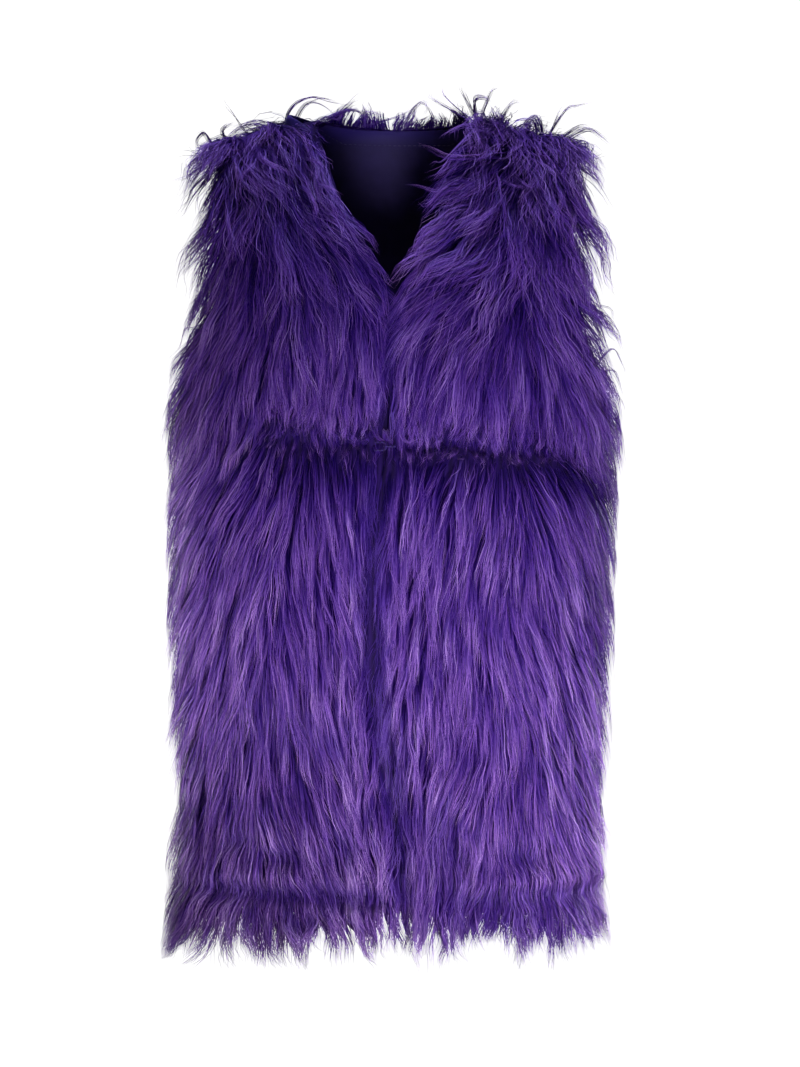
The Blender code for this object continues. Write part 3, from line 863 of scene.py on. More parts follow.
def room_to_end(x, z):
    """How long the pile can be, as a part of its length, to end just past the waist fold and the hem."""
    uneven = sum(high * np.sin(x / run + start) for high, run, start in UNEVEN)
    fold_at = fold_height(x)
    over = (z - fold_at - FOLD_LIP + 0.5 * uneven) / PILE_LENGTH
    inside = ease(x, *FOLD_RIGHT_END) * (1 - ease(x, *FOLD_LEFT_END))
    short = np.clip(over, FOLD_LEAST, 1.0) * inside + 1 - inside
    fold = np.where(z > fold_at - FOLD_LIP, short, 1.0)
    tips = TIP_HEIGHT + np.interp(x, *zip(*TIP_LINE)) + 0.3 * uneven
    hem = np.clip((z - tips) / PILE_LENGTH, HEM_LEAST, 1.0)
    return np.minimum(fold, hem)


def tufts_at(side, x, z):
    """How full, loose and long the pile is at each place, from the tables of tufts."""
    felt_all = np.zeros(len(x))
    sums = {key: np.zeros(len(x)) for key in TUFT_PLAIN}
    for row in rows_of(TUFT_COLUMNS, TUFTS + on_both_sides(EVEN_TUFTS), side):
        felt = np.exp(-(((x - row["x"]) ** 2 + (z - row["z"]) ** 2) / row["spread"] ** 2))
        felt_all += felt
        for key in sums:
            sums[key] += felt * (row[key] - TUFT_PLAIN[key])
    return {key: TUFT_PLAIN[key] + sums[key] / np.maximum(felt_all, 1.0) for key in sums}


def comb(mesh, name):
    """Writes how the pile lies on each point of a cloth surface."""
    side = side_of(name)
    places, normals = read(mesh, "co"), read(mesh, "normal")
    x, z = places[:, 0] / MM, places[:, 2] / MM
    held = tufts_at(side, x, z)
    fall = np.zeros_like(places)
    fall[:, 2] = -1.0
    fall[:, 1] = (-1.0 if side == "front" else 1.0) * SHOULDER_FALL * ease(z, *SHOULDER_HEIGHT)
    # Beside the shoulder seam the pile of the back falls forward and hides the seam
    beyond_neck = ease(np.where(x < 0, -x - SEAM_SHIFT, x), *SEAM_ACROSS)
    seam = (1 - ease(np.abs(places[:, 1]) / MM, *SEAM_DEPTH)) * ease(z, *SEAM_HEIGHT) * beyond_neck
    if side == "back":
        fall[:, 1] *= 1 - 2 * seam
    # Along the back of the neck the pile stands up past the edge
    rim = ease(z, *RIM_HEIGHT) * (1 - ease(np.abs(x), *RIM_ACROSS)) * (side == "back")
    fall[:, 2] += RIM_STAND * rim
    fall[:, 1] *= 1 - rim
    fall = unit(fall - normals * np.sum(fall * normals, axis=1)[:, None])
    across = np.cross(normals, fall)
    across *= np.where(across[:, 0] < 0, -1.0, 1.0)[:, None]
    sway = nap_at(name, x, z) + RIPPLE * np.sin(x / 31 + z / 57) + RIPPLE * np.sin(z / 23 - x / 90)
    # Beside the parting the pile falls straight, and in it the pile is thin
    if side == "front":
        apart = np.abs(x - np.interp(-z, *zip(*PARTING)))
        sway *= 1 - ease(-z, *PART_DROP) * (1 - ease(apart, *PART_ACROSS))
        held["cover"] *= 1 - THIN_PART * ease(-z, *THIN_DROP) * (1 - ease(apart, *THIN_ACROSS))
    # At the foot of each side seam the pile turns in, so the hem has round corners
    corner = (1 - ease(z, *CORNER_HEIGHT)) * ease(np.abs(x), *CORNER_ACROSS)
    sway -= CORNER_TURN * np.sign(x) * corner
    held["cover"] *= 1 + SEAM_FULL * seam
    if side == "back":
        sway *= 1 - seam
        held["reach"] *= 1 - SEAM_FLAT * seam
        held["stand"] *= 1 - SEAM_FLAT * seam
        held["lift"] *= 1 - seam
    held["reach"] = np.minimum(held["reach"], room_to_end(x, z)) * (1 - CORNER_SHORT * corner)
    # loft: how far the pile keeps its height, lower where pressed, where the strands also get painted shade
    loft = np.ones(len(x))
    for row in rows_of(PRESS_COLUMNS, PRESSES, side):
        loft = np.minimum(loft, 1 - row["press"] * near_line(places, row))
    for key, values in held.items():
        write(mesh, key, values)
    write(mesh, "comb", unit(fall + across * sway[:, None]))
    write(mesh, "facing", normals)
    write(mesh, "loft", loft)
    # Locks are looser along the back of the neck and beside the armholes, where a short coat fills in
    beside = ease(np.abs(x), *FLANK_ACROSS) * ease(z, *FLANK_HEIGHT)
    write(mesh, "draw", (1 - RIM_LOOSE * rim) * (1 - FLANK_LOOSE * beside))
    # Pile that hangs over the waist fold isn't pressed into it, apart from beside the hook
    above = z - fold_height(x)
    hung = ease(above, *HUNG_ABOVE) * (above < HUNG_FROM) * ease(np.abs(x - HOOK_ACROSS), *HUNG_BESIDE)
    write(mesh, "hold", 1 - HUNG_FREE * hung)
    # Each coat has its own places: curls where the pile is tangled, and the fringe at the hem
    curled = ease(held["tangle"], *CURLED_TANGLE) * ease(z, *CURLED_HEIGHT)
    low = 1 - ease(z, *FRINGE_HEIGHT)
    write(mesh, "shag", held["cover"] * curled)
    write(mesh, "flank", held["cover"] * beside)
    write(mesh, "fringe", held["cover"] * low)
    write(mesh, "sleek", held["cover"] * (1 - SLEEK_THIN * np.maximum(curled, low)))


def strand_mesh(pairs):
    """One flat strand that tapers to a tip, with its places along and across kept on its points."""
    spots = [(number / pairs, side) for number in range(pairs) for side in (-1.0, 1.0)] + [(1.0, 0.0)]
    last = len(spots) - 1
    faces = [(i, i + 1, i + 3, i + 2) for i in range(0, last - 2, 2)] + [(last - 2, last - 1, last)]
    mesh = bpy.data.meshes.new("strand")
    mesh.from_pydata([(side * 0.5, place, 0.0) for place, side in spots], [], faces)
    write(mesh, "along", [place for place, side in spots])
    write(mesh, "across", [side for place, side in spots])
    return mesh


def new_tree(name, inputs):
    """A Geometry Nodes tree with named inputs, and the sockets that give them."""
    tree = bpy.data.node_groups.new(name, "GeometryNodeTree")
    tree.is_modifier = True
    for label, kind in inputs.items():
        tree.interface.new_socket(label, in_out="INPUT", socket_type="NodeSocket" + kind)
    tree.interface.new_socket("Geometry", in_out="OUTPUT", socket_type="NodeSocketGeometry")
    return tree, tree.nodes.new("NodeGroupInput").outputs


def finish_tree(tree, made, given):
    """Ends a tree: smooth shading, instances made real, and the material."""
    soft = add(tree, "GeometryNodeSetShadeSmooth", made)
    real = add(tree, "GeometryNodeRealizeInstances", soft)
    done = add(tree, "GeometryNodeSetMaterial", real, by_name={"Material": given["Material"]})
    add(tree, "NodeGroupOutput", done)
    return tree


# Inputs of the pile's tree, with their kinds
PILE_INPUTS = {
    "Geometry": "Geometry",
    "Strand": "Object",
    "Density": "Float",
    "Crowd": "String",
    "Lock Spacing": "Float",
    "Tuft Spacing": "Float",
    "Length": "Float",
    "Height": "Float",
    "Width": "Float",
    "Lock Pull": "Float",
    "Wave": "Float",
    "Lift": "Float",
    "Tint": "Float",
    "Seed": "Int",
    "Lock Seed": "Int",
    "Material": "Material",
}

# Attributes that the combed cloth carries, and those that each strand keeps from its root
CLOTH_CARRIES = ("lift", "tangle", "stand", "reach", "hold", "loft", "draw")
STRAND_KEEPS = ("root", "out", "lean", "veer", "gather", "herd", "shape", "swing", "spin")
# Numbers that a strand keeps three to a vector
STRAND_PACKS = {
    "shape": ("length", "height", "tip_lift"),
    "swing": ("amount", "phase", "turns"),
    "spin": ("twist", "tint", "hold"),
}
# Chance values of a lock or tuft, three to a vector: the lowest, the highest, the seed and their names
GROUP_CHANCES = (
    (-1.0, 1.0, 22, ("_bend", "_curl", "_tint")),
    (0.0, 1.0, 21, ("_size", "_rise", "_turn")),
)
# Places tried for each that a lock or tuft could take
GROUP_CROWDING = 1.3

# Each strand's direction and size, from the combing, its tuft, its lock and its own chance
ROOT_STEPS = (
    ("across", VECTOR, "CROSS_PRODUCT", "out", "combed"),
    ("sway", MATHS, "MULTIPLY_ADD", "tuft_bend", 1.1, "lock_bend"),
    ("sway", MATHS, "MULTIPLY", "sway", "tangle"),
    ("sway", MATHS, "MULTIPLY_ADD", "sway", 0.13, "own_sway"),
    ("step", VECTOR, "SCALE", "across", "sway"),
    ("lean", VECTOR, "ADD", "combed", "step"),
    ("lean", VECTOR, "NORMALIZE", "lean"),
    ("length", MATHS, "MULTIPLY", "Length", "reach"),
    ("part", MATHS, "MULTIPLY_ADD", "lock_size", 0.44, 0.72),
    ("length", MATHS, "MULTIPLY", "length", "part"),
    ("length", MATHS, "MULTIPLY", "length", "own_length"),
    ("half_way", MATHS, "MULTIPLY", "length", 0.5),
    ("ahead", VECTOR, "SCALE", "lean", "half_way"),
    ("ahead", VECTOR, "ADD", "ahead", "here"),
    ("part", MATHS, "MULTIPLY_ADD", "lock_rise", 0.8, 0.60),
    ("height", MATHS, "MULTIPLY", "Height", "stand"),
    ("height", MATHS, "MULTIPLY", "height", "part"),
    ("height", MATHS, "MULTIPLY", "height", "own_height"),
    ("tip_lift", MATHS, "ADD", "lift", "Lift"),
    ("part", MATHS, "MULTIPLY_ADD", "lock_turn", 1.5, 0.25),
    ("tip_lift", MATHS, "MULTIPLY", "tip_lift", "part"),
    ("amount", MATHS, "MULTIPLY_ADD", "tangle", 0.5, 0.5),
    ("amount", MATHS, "MULTIPLY", "Wave", "amount"),
    ("part", MATHS, "MULTIPLY_ADD", "lock_size", 0.9, 0.5),
    ("amount", MATHS, "MULTIPLY", "amount", "part"),
    ("phase", MATHS, "MULTIPLY_ADD", "lock_turn", 0.45, "own_phase"),
    ("phase", MATHS, "ADD", "phase", "tuft_turn"),
    ("turns", MATHS, "MULTIPLY_ADD", "lock_rise", 0.8, 1.2),
    # Tint: the lock's and the strand's own chance, and painted shade that darkens low-lying locks and
    # pressed places
    ("tint", MATHS, "MULTIPLY_ADD", "lock_tint", 0.12, "Tint"),
    ("tint", MATHS, "MULTIPLY_ADD", "lock_rise", 0.34, "tint"),
    ("tint", MATHS, "MULTIPLY_ADD", "loft", 0.05, "tint"),
    ("tint", MATHS, "ADD", "tint", "own_tint"),
    ("tint", MATHS, "MAXIMUM", "tint", 0.01),
    ("tint", MATHS, "MINIMUM", "tint", 0.99),
)

# The direction that the strand bends to, from the combing where it lies
VEER_STEPS = (
    ("curl", MATHS, "MULTIPLY", "lock_curl", "tangle"),
    ("veer_sway", MATHS, "MULTIPLY_ADD", "curl", 0.20, "sway"),
    ("step", VECTOR, "SCALE", "across", "veer_sway"),
    ("veer", VECTOR, "ADD", "combed_ahead", "step"),
    ("veer", VECTOR, "NORMALIZE", "veer"),
    ("gather", VECTOR, "SUBTRACT", "lock_place", "here"),
    ("gather", VECTOR, "SCALE", "gather", "draw"),
    ("herd", VECTOR, "SUBTRACT", "tuft_place", "lock_place"),
)

# The strand's own line: out of the cloth, along its lean, into its lock and tuft, with a wave
LINE_STEPS = (
    ("across", VECTOR, "CROSS_PRODUCT", "out", "lean"),
    ("square", MATHS, "MULTIPLY", "along", "along"),
    ("bent", MATHS, "MULTIPLY", "square", 0.5),
    ("straight", MATHS, "SUBTRACT", "along", "bent"),
    ("straight", MATHS, "MULTIPLY", "straight", "length"),
    ("bent", MATHS, "MULTIPLY", "bent", "length"),
    ("line", VECTOR, "MULTIPLY_ADD", "lean", "straight", "root"),
    ("line", VECTOR, "MULTIPLY_ADD", "veer", "bent", "line"),
    ("rest", MATHS, "SUBTRACT", 1.0, "along"),
    ("rest", MATHS, "POWER", "rest", 2.0),
    ("rise", MATHS, "SUBTRACT", 1.0, "rest"),
    ("rise", MATHS, "MULTIPLY", "rise", "height"),
    ("tip_out", MATHS, "MULTIPLY", "length", "tip_lift"),
    ("tip_out", MATHS, "MULTIPLY", "tip_out", "square"),
    ("turn", MATHS, "MULTIPLY_ADD", "along", "turns", "phase"),
    ("turn", MATHS, "MULTIPLY", "turn", 2 * math.pi),
    ("swing", MATHS, "SINE", "turn"),
    ("swing", MATHS, "MULTIPLY", "swing", "amount"),
    ("swing", MATHS, "MULTIPLY", "swing", "along"),
    ("bob", MATHS, "COSINE", "turn"),
    ("bob", MATHS, "MULTIPLY", "bob", "amount"),
    ("bob", MATHS, "MULTIPLY", "bob", "square"),
    ("bob", MATHS, "MULTIPLY", "bob", 0.4),
    ("high", MATHS, "ADD", "rise", "tip_out"),
    ("outward", MATHS, "ADD", "high", "bob"),
    ("line", VECTOR, "MULTIPLY_ADD", "out", "outward", "line"),
    ("line", VECTOR, "MULTIPLY_ADD", "across", "swing", "line"),
    ("drawn", MATHS, "POWER", "along", 0.5),
    ("drawn", MATHS, "MULTIPLY", "drawn", "Lock Pull"),
    ("line", VECTOR, "MULTIPLY_ADD", "gather", "drawn", "line"),
    ("drawn", MATHS, "MULTIPLY", "square", 0.30),
    ("line", VECTOR, "MULTIPLY_ADD", "herd", "drawn", "line"),
    ("slope", MATHS, "ADD", "lean_z", 1.0),
    ("slope", MATHS, "MULTIPLY", "slope", -0.3),
    ("droop", MATHS, "MULTIPLY", "bent", "slope"),
    ("droop", MATHS, "MULTIPLY", "droop", 2.0),
)

# Past these corners the pile is drawn in, so that no tip strays far from the garment
LOOSE_LOW = (-0.206, -0.143, -0.758)
LOOSE_HIGH = (0.206, 0.133, 0.050)

# Lying: the line keeps near its height over the cloth beneath it, less where the pile is pressed
LIE_STEPS = (
    ("over", VECTOR, "SUBTRACT", "line", "under"),
    ("gap", VECTOR, "DOT_PRODUCT", "over", "facing"),
    ("low", MATHS, "MULTIPLY", "rise", 0.8),
    ("most", MATHS, "MULTIPLY_ADD", "high", 1.1, 3 * MM),
    ("wanted", MATHS, "MAXIMUM", "gap", "low"),
    ("wanted", MATHS, "MINIMUM", "wanted", "most"),
    ("pressed", MATHS, "SUBTRACT", 1.0, "loft"),
    ("pressed", MATHS, "MULTIPLY", "pressed", "hold"),
    ("pressed", MATHS, "SUBTRACT", 1.0, "pressed"),
    ("wanted", MATHS, "MULTIPLY", "wanted", "pressed"),
    ("move", MATHS, "SUBTRACT", "wanted", "gap"),
    ("line", VECTOR, "MULTIPLY_ADD", "facing", "move", "line"),
    ("inside", VECTOR, "MAXIMUM", "line", LOOSE_LOW),
    ("inside", VECTOR, "MINIMUM", "inside", LOOSE_HIGH),
    ("beyond", VECTOR, "SUBTRACT", "line", "inside"),
    ("beyond", VECTOR, "SCALE", "beyond", -0.65),
    ("line", VECTOR, "ADD", "line", "beyond"),
    ("thin", MATHS, "POWER", "along", 2.3),
    ("thin", MATHS, "SUBTRACT", 1.0, "thin"),
    ("swell", MATHS, "MULTIPLY_ADD", "along", 2.4, 0.5),
    ("swell", MATHS, "MINIMUM", "swell", 1.0),
    ("half", MATHS, "MULTIPLY", "thin", "swell"),
    ("half", MATHS, "MULTIPLY", "half", "side"),
    ("half", MATHS, "MULTIPLY", "half", "Width"),
    ("half", MATHS, "MULTIPLY", "half", 0.5),
    ("flat", MATHS, "COSINE", "twist"),
    ("flat", MATHS, "MULTIPLY", "flat", "half"),
    ("raised", MATHS, "SINE", "twist"),
    ("raised", MATHS, "MULTIPLY", "raised", "half"),
    ("line", VECTOR, "MULTIPLY_ADD", "across", "flat", "line"),
    ("line", VECTOR, "MULTIPLY_ADD", "out", "raised", "line"),
    ("chart_u", MATHS, "MULTIPLY_ADD", "tint", 0.96, 0.02),
    ("chart_u", MATHS, "MULTIPLY_ADD", "side", 0.004, "chart_u"),
    # Painted shade: where the pile is pressed its chart runs nearer the dark root colour
    ("shade", MATHS, "MULTIPLY_ADD", "pressed", 0.75, 0.25),
    ("chart_v", MATHS, "MULTIPLY", "along", "shade"),
    ("chart_v", MATHS, "MULTIPLY_ADD", "chart_v", 0.96, 0.02),
)

# Chance values: what is made, the lowest, the highest and the seed
CHANCES = (
    ("own_sway", -0.035, 0.035, 13),
    ("own_length", 0.74, 1.06, 14),
    ("own_height", 0.72, 1.12, 15),
    ("own_phase", -0.06, 0.06, 16),
    ("twist", -0.9, 0.9, 17),
    ("own_tint", -0.71, -0.12, 18),
)


def pile_tree():
    """Strands spread over a combed cloth surface, drawn together in locks, lying along the cloth."""
    tree, given = new_tree("Pile in locks", PILE_INPUTS)
    known = {label: given[label] for label in PILE_INPUTS}
    cloth = given["Geometry"]
    here = add(tree, "GeometryNodeInputPosition")
    for name in CLOTH_CARRIES:
        known[name] = add(tree, NAMED, name, data_type="FLOAT")
    known["combed"] = add(tree, NAMED, "comb", data_type="FLOAT_VECTOR")
    known["here"] = here

    # Roots of the strands, and the middles of the locks and tufts that they join
    crowd = add(tree, NAMED, given["Crowd"], data_type="FLOAT")
    crowd = add(tree, MATHS, given["Density"], crowd, operation="MULTIPLY")
    rooting = {"Density": crowd, "Seed": given["Seed"]}
    roots = add(tree, SCATTER, cloth, by_name=rooting, distribute_method="RANDOM")
    known["out"] = roots.outputs["Normal"]
    for group, spacing in (("lock", given["Lock Spacing"]), ("tuft", given["Tuft Spacing"])):
        square = add(tree, MATHS, spacing, spacing, operation="MULTIPLY")
        crowd = add(tree, MATHS, GROUP_CROWDING, square, operation="DIVIDE")
        spread = {"Distance Min": spacing, "Density Max": crowd, "Seed": given["Lock Seed"]}
        middles = add(tree, SCATTER, cloth, by_name=spread, distribute_method="POISSON").outputs["Points"]
        nearest = add(tree, "GeometryNodeSampleNearest", middles, here, domain="POINT")
        known[group + "_place"] = add(
            tree, PICK, middles, here, nearest, data_type="FLOAT_VECTOR", domain="POINT"
        )
        for low, high, seed, names in GROUP_CHANCES:
            ends = [low] * 3, [high] * 3
            three = add(tree, CHANCE, *ends, by_name={"Seed": seed}, data_type="FLOAT_VECTOR")
            taken = add(tree, PICK, middles, three, nearest, data_type="FLOAT_VECTOR", domain="POINT")
            parts = add(tree, "ShaderNodeSeparateXYZ", taken).outputs
            known.update(zip((group + name for name in names), parts))
    for name, low, high, seed in CHANCES:
        known[name] = add(tree, CHANCE, low, high, by_name={"Seed": seed}, data_type="FLOAT")
    work_out(tree, known, ROOT_STEPS)
    ahead = {"Sample Position": known["ahead"]}
    known["combed_ahead"] = add(
        tree, NEAREST, cloth, known["combed"], by_name=ahead, data_type="FLOAT_VECTOR"
    )
    work_out(tree, known, VEER_STEPS)
    known["root"] = here
    for pack, names in STRAND_PACKS.items():
        known[pack] = add(tree, "ShaderNodeCombineXYZ", *(known[name] for name in names))
    points = roots.outputs["Points"]
    for name in STRAND_KEEPS:
        kept = {"Name": name, "Value": known[name]}
        points = add(tree, STORE, points, by_name=kept, data_type="FLOAT_VECTOR", domain="POINT")
    strand = add(tree, "GeometryNodeObjectInfo", given["Strand"])
    planted = add(tree, "GeometryNodeInstanceOnPoints", points, None, strand.outputs["Geometry"])
    strands = add(tree, "GeometryNodeRealizeInstances", planted)

    # Each strand's points, moved along its line
    known["along"] = add(tree, NAMED, "along", data_type="FLOAT")
    known["side"] = add(tree, NAMED, "across", data_type="FLOAT")
    for name in STRAND_KEEPS:
        known[name] = add(tree, NAMED, name, data_type="FLOAT_VECTOR")
    for pack, names in (*STRAND_PACKS.items(), ("lean", ("lean_x", "lean_y", "lean_z"))):
        known.update(zip(names, add(tree, "ShaderNodeSeparateXYZ", known[pack]).outputs))
    work_out(tree, known, LINE_STEPS)
    fallen = add(tree, "ShaderNodeCombineXYZ", 0.0, 0.0, known["droop"])
    known["line"] = add(tree, VECTOR, known["line"], fallen, operation="ADD")
    beneath = {"Sample Position": known["line"]}
    for name, source, kind in (
        ("facing", add(tree, NAMED, "facing", data_type="FLOAT_VECTOR"), "FLOAT_VECTOR"),
        ("under", here, "FLOAT_VECTOR"),
        ("loft", add(tree, NAMED, "loft", data_type="FLOAT"), "FLOAT"),
    ):
        known[name] = add(tree, NEAREST, cloth, source, by_name=beneath, data_type=kind)
    work_out(tree, known, LIE_STEPS)
    shaped = add(tree, "GeometryNodeSetPosition", strands, None, known["line"])
    chart = add(tree, "ShaderNodeCombineXYZ", known["chart_u"], known["chart_v"])
    charted = add(
        tree, STORE, shaped, by_name={"Name": "OFBake", "Value": chart}, data_type="FLOAT2", domain="CORNER"
    )
    return finish_tree(tree, charted, given)


def tree_of(mesh):
    """A search tree over a cloth mesh."""
    return BVHTree.FromPolygons([v.co for v in mesh.vertices], [tuple(f.vertices) for f in mesh.polygons])


def through(points, steps):
    """A smooth line through the points, with this many steps between neighbours."""
    points = np.asarray(points, float)
    ends = np.vstack((2 * points[0] - points[1], points, 2 * points[-1] - points[-2]))
    line = []
    for a, b, c, d in zip(ends, ends[1:], ends[2:], ends[3:]):
        for step in range(steps):
            t = step / steps
            bend, twist = 2 * a - 5 * b + 4 * c - d, 3 * b - a - 3 * c + d
            line.append(0.5 * (2 * b + (c - a) * t + bend * t**2 + twist * t**3))
    return np.array([*line, points[-1]])


def paths_object(name, paths):
    """A curve object with a spline for each path. A path is its points and the radius that they carry."""
    curve = bpy.data.curves.new(name, "CURVE")
    curve.dimensions = "3D"
    for points, radius in paths:
        spline = curve.splines.new("POLY")
        spline.points.add(len(points) - 1)
        spline.points.foreach_set("co", np.column_stack((points, np.ones(len(points)))).ravel())
        spline.points.foreach_set("radius", np.full(len(points), radius))
    return link(name, curve)


# No loose lock goes further across or up than this, in millimetres
LOCKS_OUT = 216
LOCKS_TOP = 54
# How far a lock's root stands off the cloth, as a part of how far the rest of it does
LOCK_ROOT = 0.25


def lock_paths(name, surface):
    """The paths of a panel's loose locks, rooted on its cloth and standing off it."""
    out = -1.0 if side_of(name) == "front" else 1.0
    cloth = tree_of(surface)
    paths = []
    for thick, stand, *places in LOOSE_LOCKS[name]:
        line, depth = [], 0.0
        first, furthest = places[0][0], max(abs(x) for x, z in places)
        draw = min(1.0, (LOCKS_OUT - abs(first)) / max(furthest - abs(first), 1.0))
        for number, (x, z) in enumerate(places):
            x, z = first + (x - first) * draw, min(z, LOCKS_TOP)
            spot = Vector((x * MM, out, z * MM))
            hit = cloth.ray_cast(spot, Vector((0.0, -out, 0.0)))[0]
            if hit is None:
                hit = cloth.find_nearest(Vector((x * MM, depth, z * MM)))[0]
            depth = hit.y
            off = stand * MM * (LOCK_ROOT if number == 0 else 1.0)
            line.append((x * MM if number else hit.x, depth + out * off, z * MM if number else hit.z))
        paths.append((through(line, 4), thick * MM))
    return paths


# Inputs of the loose locks' tree, with their kinds
LOCK_INPUTS = {
    "Geometry": "Geometry",
    "Crowding": "Float",
    "Width": "Float",
    "Pull": "Float",
    "Wave": "Float",
    "Tint": "Float",
    "Seed": "Int",
    "Material": "Material",
}

# Strands of a loose lock: spread about its path, drawn to its tip, each with a small wave of its own
LOCK_STEPS = (
    ("drawn", MATHS, "POWER", "along", 0.45),
    ("drawn", MATHS, "MULTIPLY", "drawn", "Pull"),
    ("drawn", MATHS, "SUBTRACT", 1.0, "drawn"),
    ("drawn", MATHS, "MULTIPLY", "drawn", "radius"),
    ("spread", VECTOR, "SCALE", "fan", "drawn"),
    ("turn", MATHS, "ADD", "along", "fan_x"),
    ("turn", MATHS, "MULTIPLY", "turn", 7.0),
    ("turn", MATHS, "SINE", "turn"),
    ("turn", MATHS, "MULTIPLY", "turn", "Wave"),
    ("turn", MATHS, "MULTIPLY", "turn", "along"),
    ("wave", VECTOR, "SCALE", "own", "turn"),
    ("spread", VECTOR, "ADD", "spread", "wave"),
    ("thin", MATHS, "POWER", "along", 2.4),
    ("thin", MATHS, "SUBTRACT", 1.0, "thin"),
    ("swell", MATHS, "MULTIPLY_ADD", "along", 2.4, 0.5),
    ("swell", MATHS, "MINIMUM", "swell", 1.0),
    ("half", MATHS, "MULTIPLY", "thin", "swell"),
    ("half", MATHS, "MULTIPLY", "half", "Width"),
    ("half", MATHS, "MULTIPLY", "half", 0.5),
    ("tint", MATHS, "MULTIPLY_ADD", "fan_z", 0.22, "Tint"),
    # chart_v runs from root to tip and starts part way, so the material's painted root shade is light here
    ("chart_v", MATHS, "MULTIPLY_ADD", "along", 0.7, 0.28),
    ("cut", MATHS, "MULTIPLY_ADD", "own_z", 0.16, 0.84),
)


def lock_tree():
    """Strands along each path: as many as the path is thick, flat and tapered."""
    tree, given = new_tree("Loose locks", LOCK_INPUTS)
    known = {label: given[label] for label in LOCK_INPUTS}
    known["radius"] = add(tree, "GeometryNodeInputRadius")
    amount = add(tree, MATHS, known["radius"], given["Crowding"], operation="MULTIPLY")
    copies = add(tree, "GeometryNodeDuplicateElements", given["Geometry"], None, amount, domain="SPLINE")
    curves = copies.outputs["Geometry"]
    for number, name in enumerate(("fan", "own")):
        seed = add(tree, MATHS, given["Seed"], float(number), operation="ADD")
        ends = [-1.0] * 3, [1.0] * 3
        kept = {
            "Name": name,
            "Value": add(tree, CHANCE, *ends, by_name={"Seed": seed}, data_type="FLOAT_VECTOR"),
        }
        curves = add(tree, STORE, curves, by_name=kept, data_type="FLOAT_VECTOR", domain="CURVE")
        known[name] = add(tree, NAMED, name, data_type="FLOAT_VECTOR")
        parts = add(tree, "ShaderNodeSeparateXYZ", known[name]).outputs
        known.update(zip((name + "_x", name + "_y", name + "_z"), parts))
    known["along"] = add(tree, "GeometryNodeSplineParameter").outputs["Factor"]
    work_out(tree, known, LOCK_STEPS)
    curves = add(tree, "GeometryNodeSetPosition", curves, by_name={"Offset": known["spread"]})
    kept = {"Name": "chart", "Value": add(tree, "ShaderNodeCombineXYZ", known["tint"], known["chart_v"])}
    curves = add(tree, STORE, curves, by_name=kept, data_type="FLOAT_VECTOR", domain="POINT")
    curves = add(tree, "GeometryNodeTrimCurve", curves, by_name={"End": known["cut"]}, mode="FACTOR")
    curves = add(tree, "GeometryNodeSetCurveTilt", curves, by_name={"Tilt": known["own_y"]})
    across = {"Start": (-1.0, 0.0, 0.0), "End": (1.0, 0.0, 0.0)}
    edge = add(tree, "GeometryNodeCurvePrimitiveLine", by_name=across)
    strands = add(tree, "GeometryNodeCurveToMesh", curves, edge, known["half"])
    kept = {"Name": "OFBake", "Value": add(tree, NAMED, "chart", data_type="FLOAT_VECTOR")}
    charted = add(tree, STORE, strands, by_name=kept, data_type="FLOAT2", domain="CORNER")
    return finish_tree(tree, charted, given)


# Inputs of the stitches' tree, with their kinds
STITCH_INPUTS = {
    "Geometry": "Geometry",
    "Stitch": "Float",
    "Gap": "Float",
    "Thread": "Float",
    "Material": "Material",
}


def stitch_tree():
    """A row of stitches along a path, each a short rounded length of thread."""
    tree, given = new_tree("Stitches", STITCH_INPUTS)
    pitch = add(tree, MATHS, given["Stitch"], given["Gap"], operation="ADD")
    path = given["Geometry"]
    points = add(tree, "GeometryNodeCurveToPoints", path, by_name={"Length": pitch}, mode="LENGTH").outputs
    bead = add(tree, "GeometryNodeMeshUVSphere", by_name={"Segments": 6, "Rings": 5, "Radius": 0.5})
    size = add(tree, "ShaderNodeCombineXYZ", given["Thread"], given["Thread"], given["Stitch"])
    laid = {"Instance": bead.outputs["Mesh"], "Rotation": points["Rotation"], "Scale": size}
    planted = add(tree, "GeometryNodeInstanceOnPoints", points["Points"], by_name=laid)
    return finish_tree(tree, planted, given)


# Attributes that only the making of a piece needs
SPARES = (
    *CLOTH_CARRIES,
    *STRAND_KEEPS,
    *("cover", "shag", "flank", "fringe", "sleek", "comb", "facing", "along", "across"),
    *("fan", "own", "chart", "radius", "tilt"),
)


def make(name, source, tree, sizes):
    """A piece that a tree makes from a source, which goes. sizes are the tree's inputs by name."""
    made = source.modifiers.new("Made", "NODES")
    made.node_group = tree
    for item in tree.interface.items_tree:
        if item.in_out == "INPUT" and item.name in sizes:
            made[item.identifier] = sizes[item.name]
    mesh = plain_mesh(source)
    bpy.data.objects.remove(source, do_unlink=True)
    for spare in SPARES:
        if spare in mesh.attributes:
            mesh.attributes.remove(mesh.attributes[spare])
    return link(name, mesh)


def put_on(piece):
    """Says that a piece goes with the garment: attaches it to the garment's root."""
    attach(piece, "root")
    return piece


# The stitches below the back neckline, in millimetres: how far they go to each side and in what steps, and
# how the row rises from where it turns to its ends
NECK_SIDE = 70
NECK_STEP = 5
NECK_RISE = 11.0
NECK_TURN = 26
NECK_END = 76


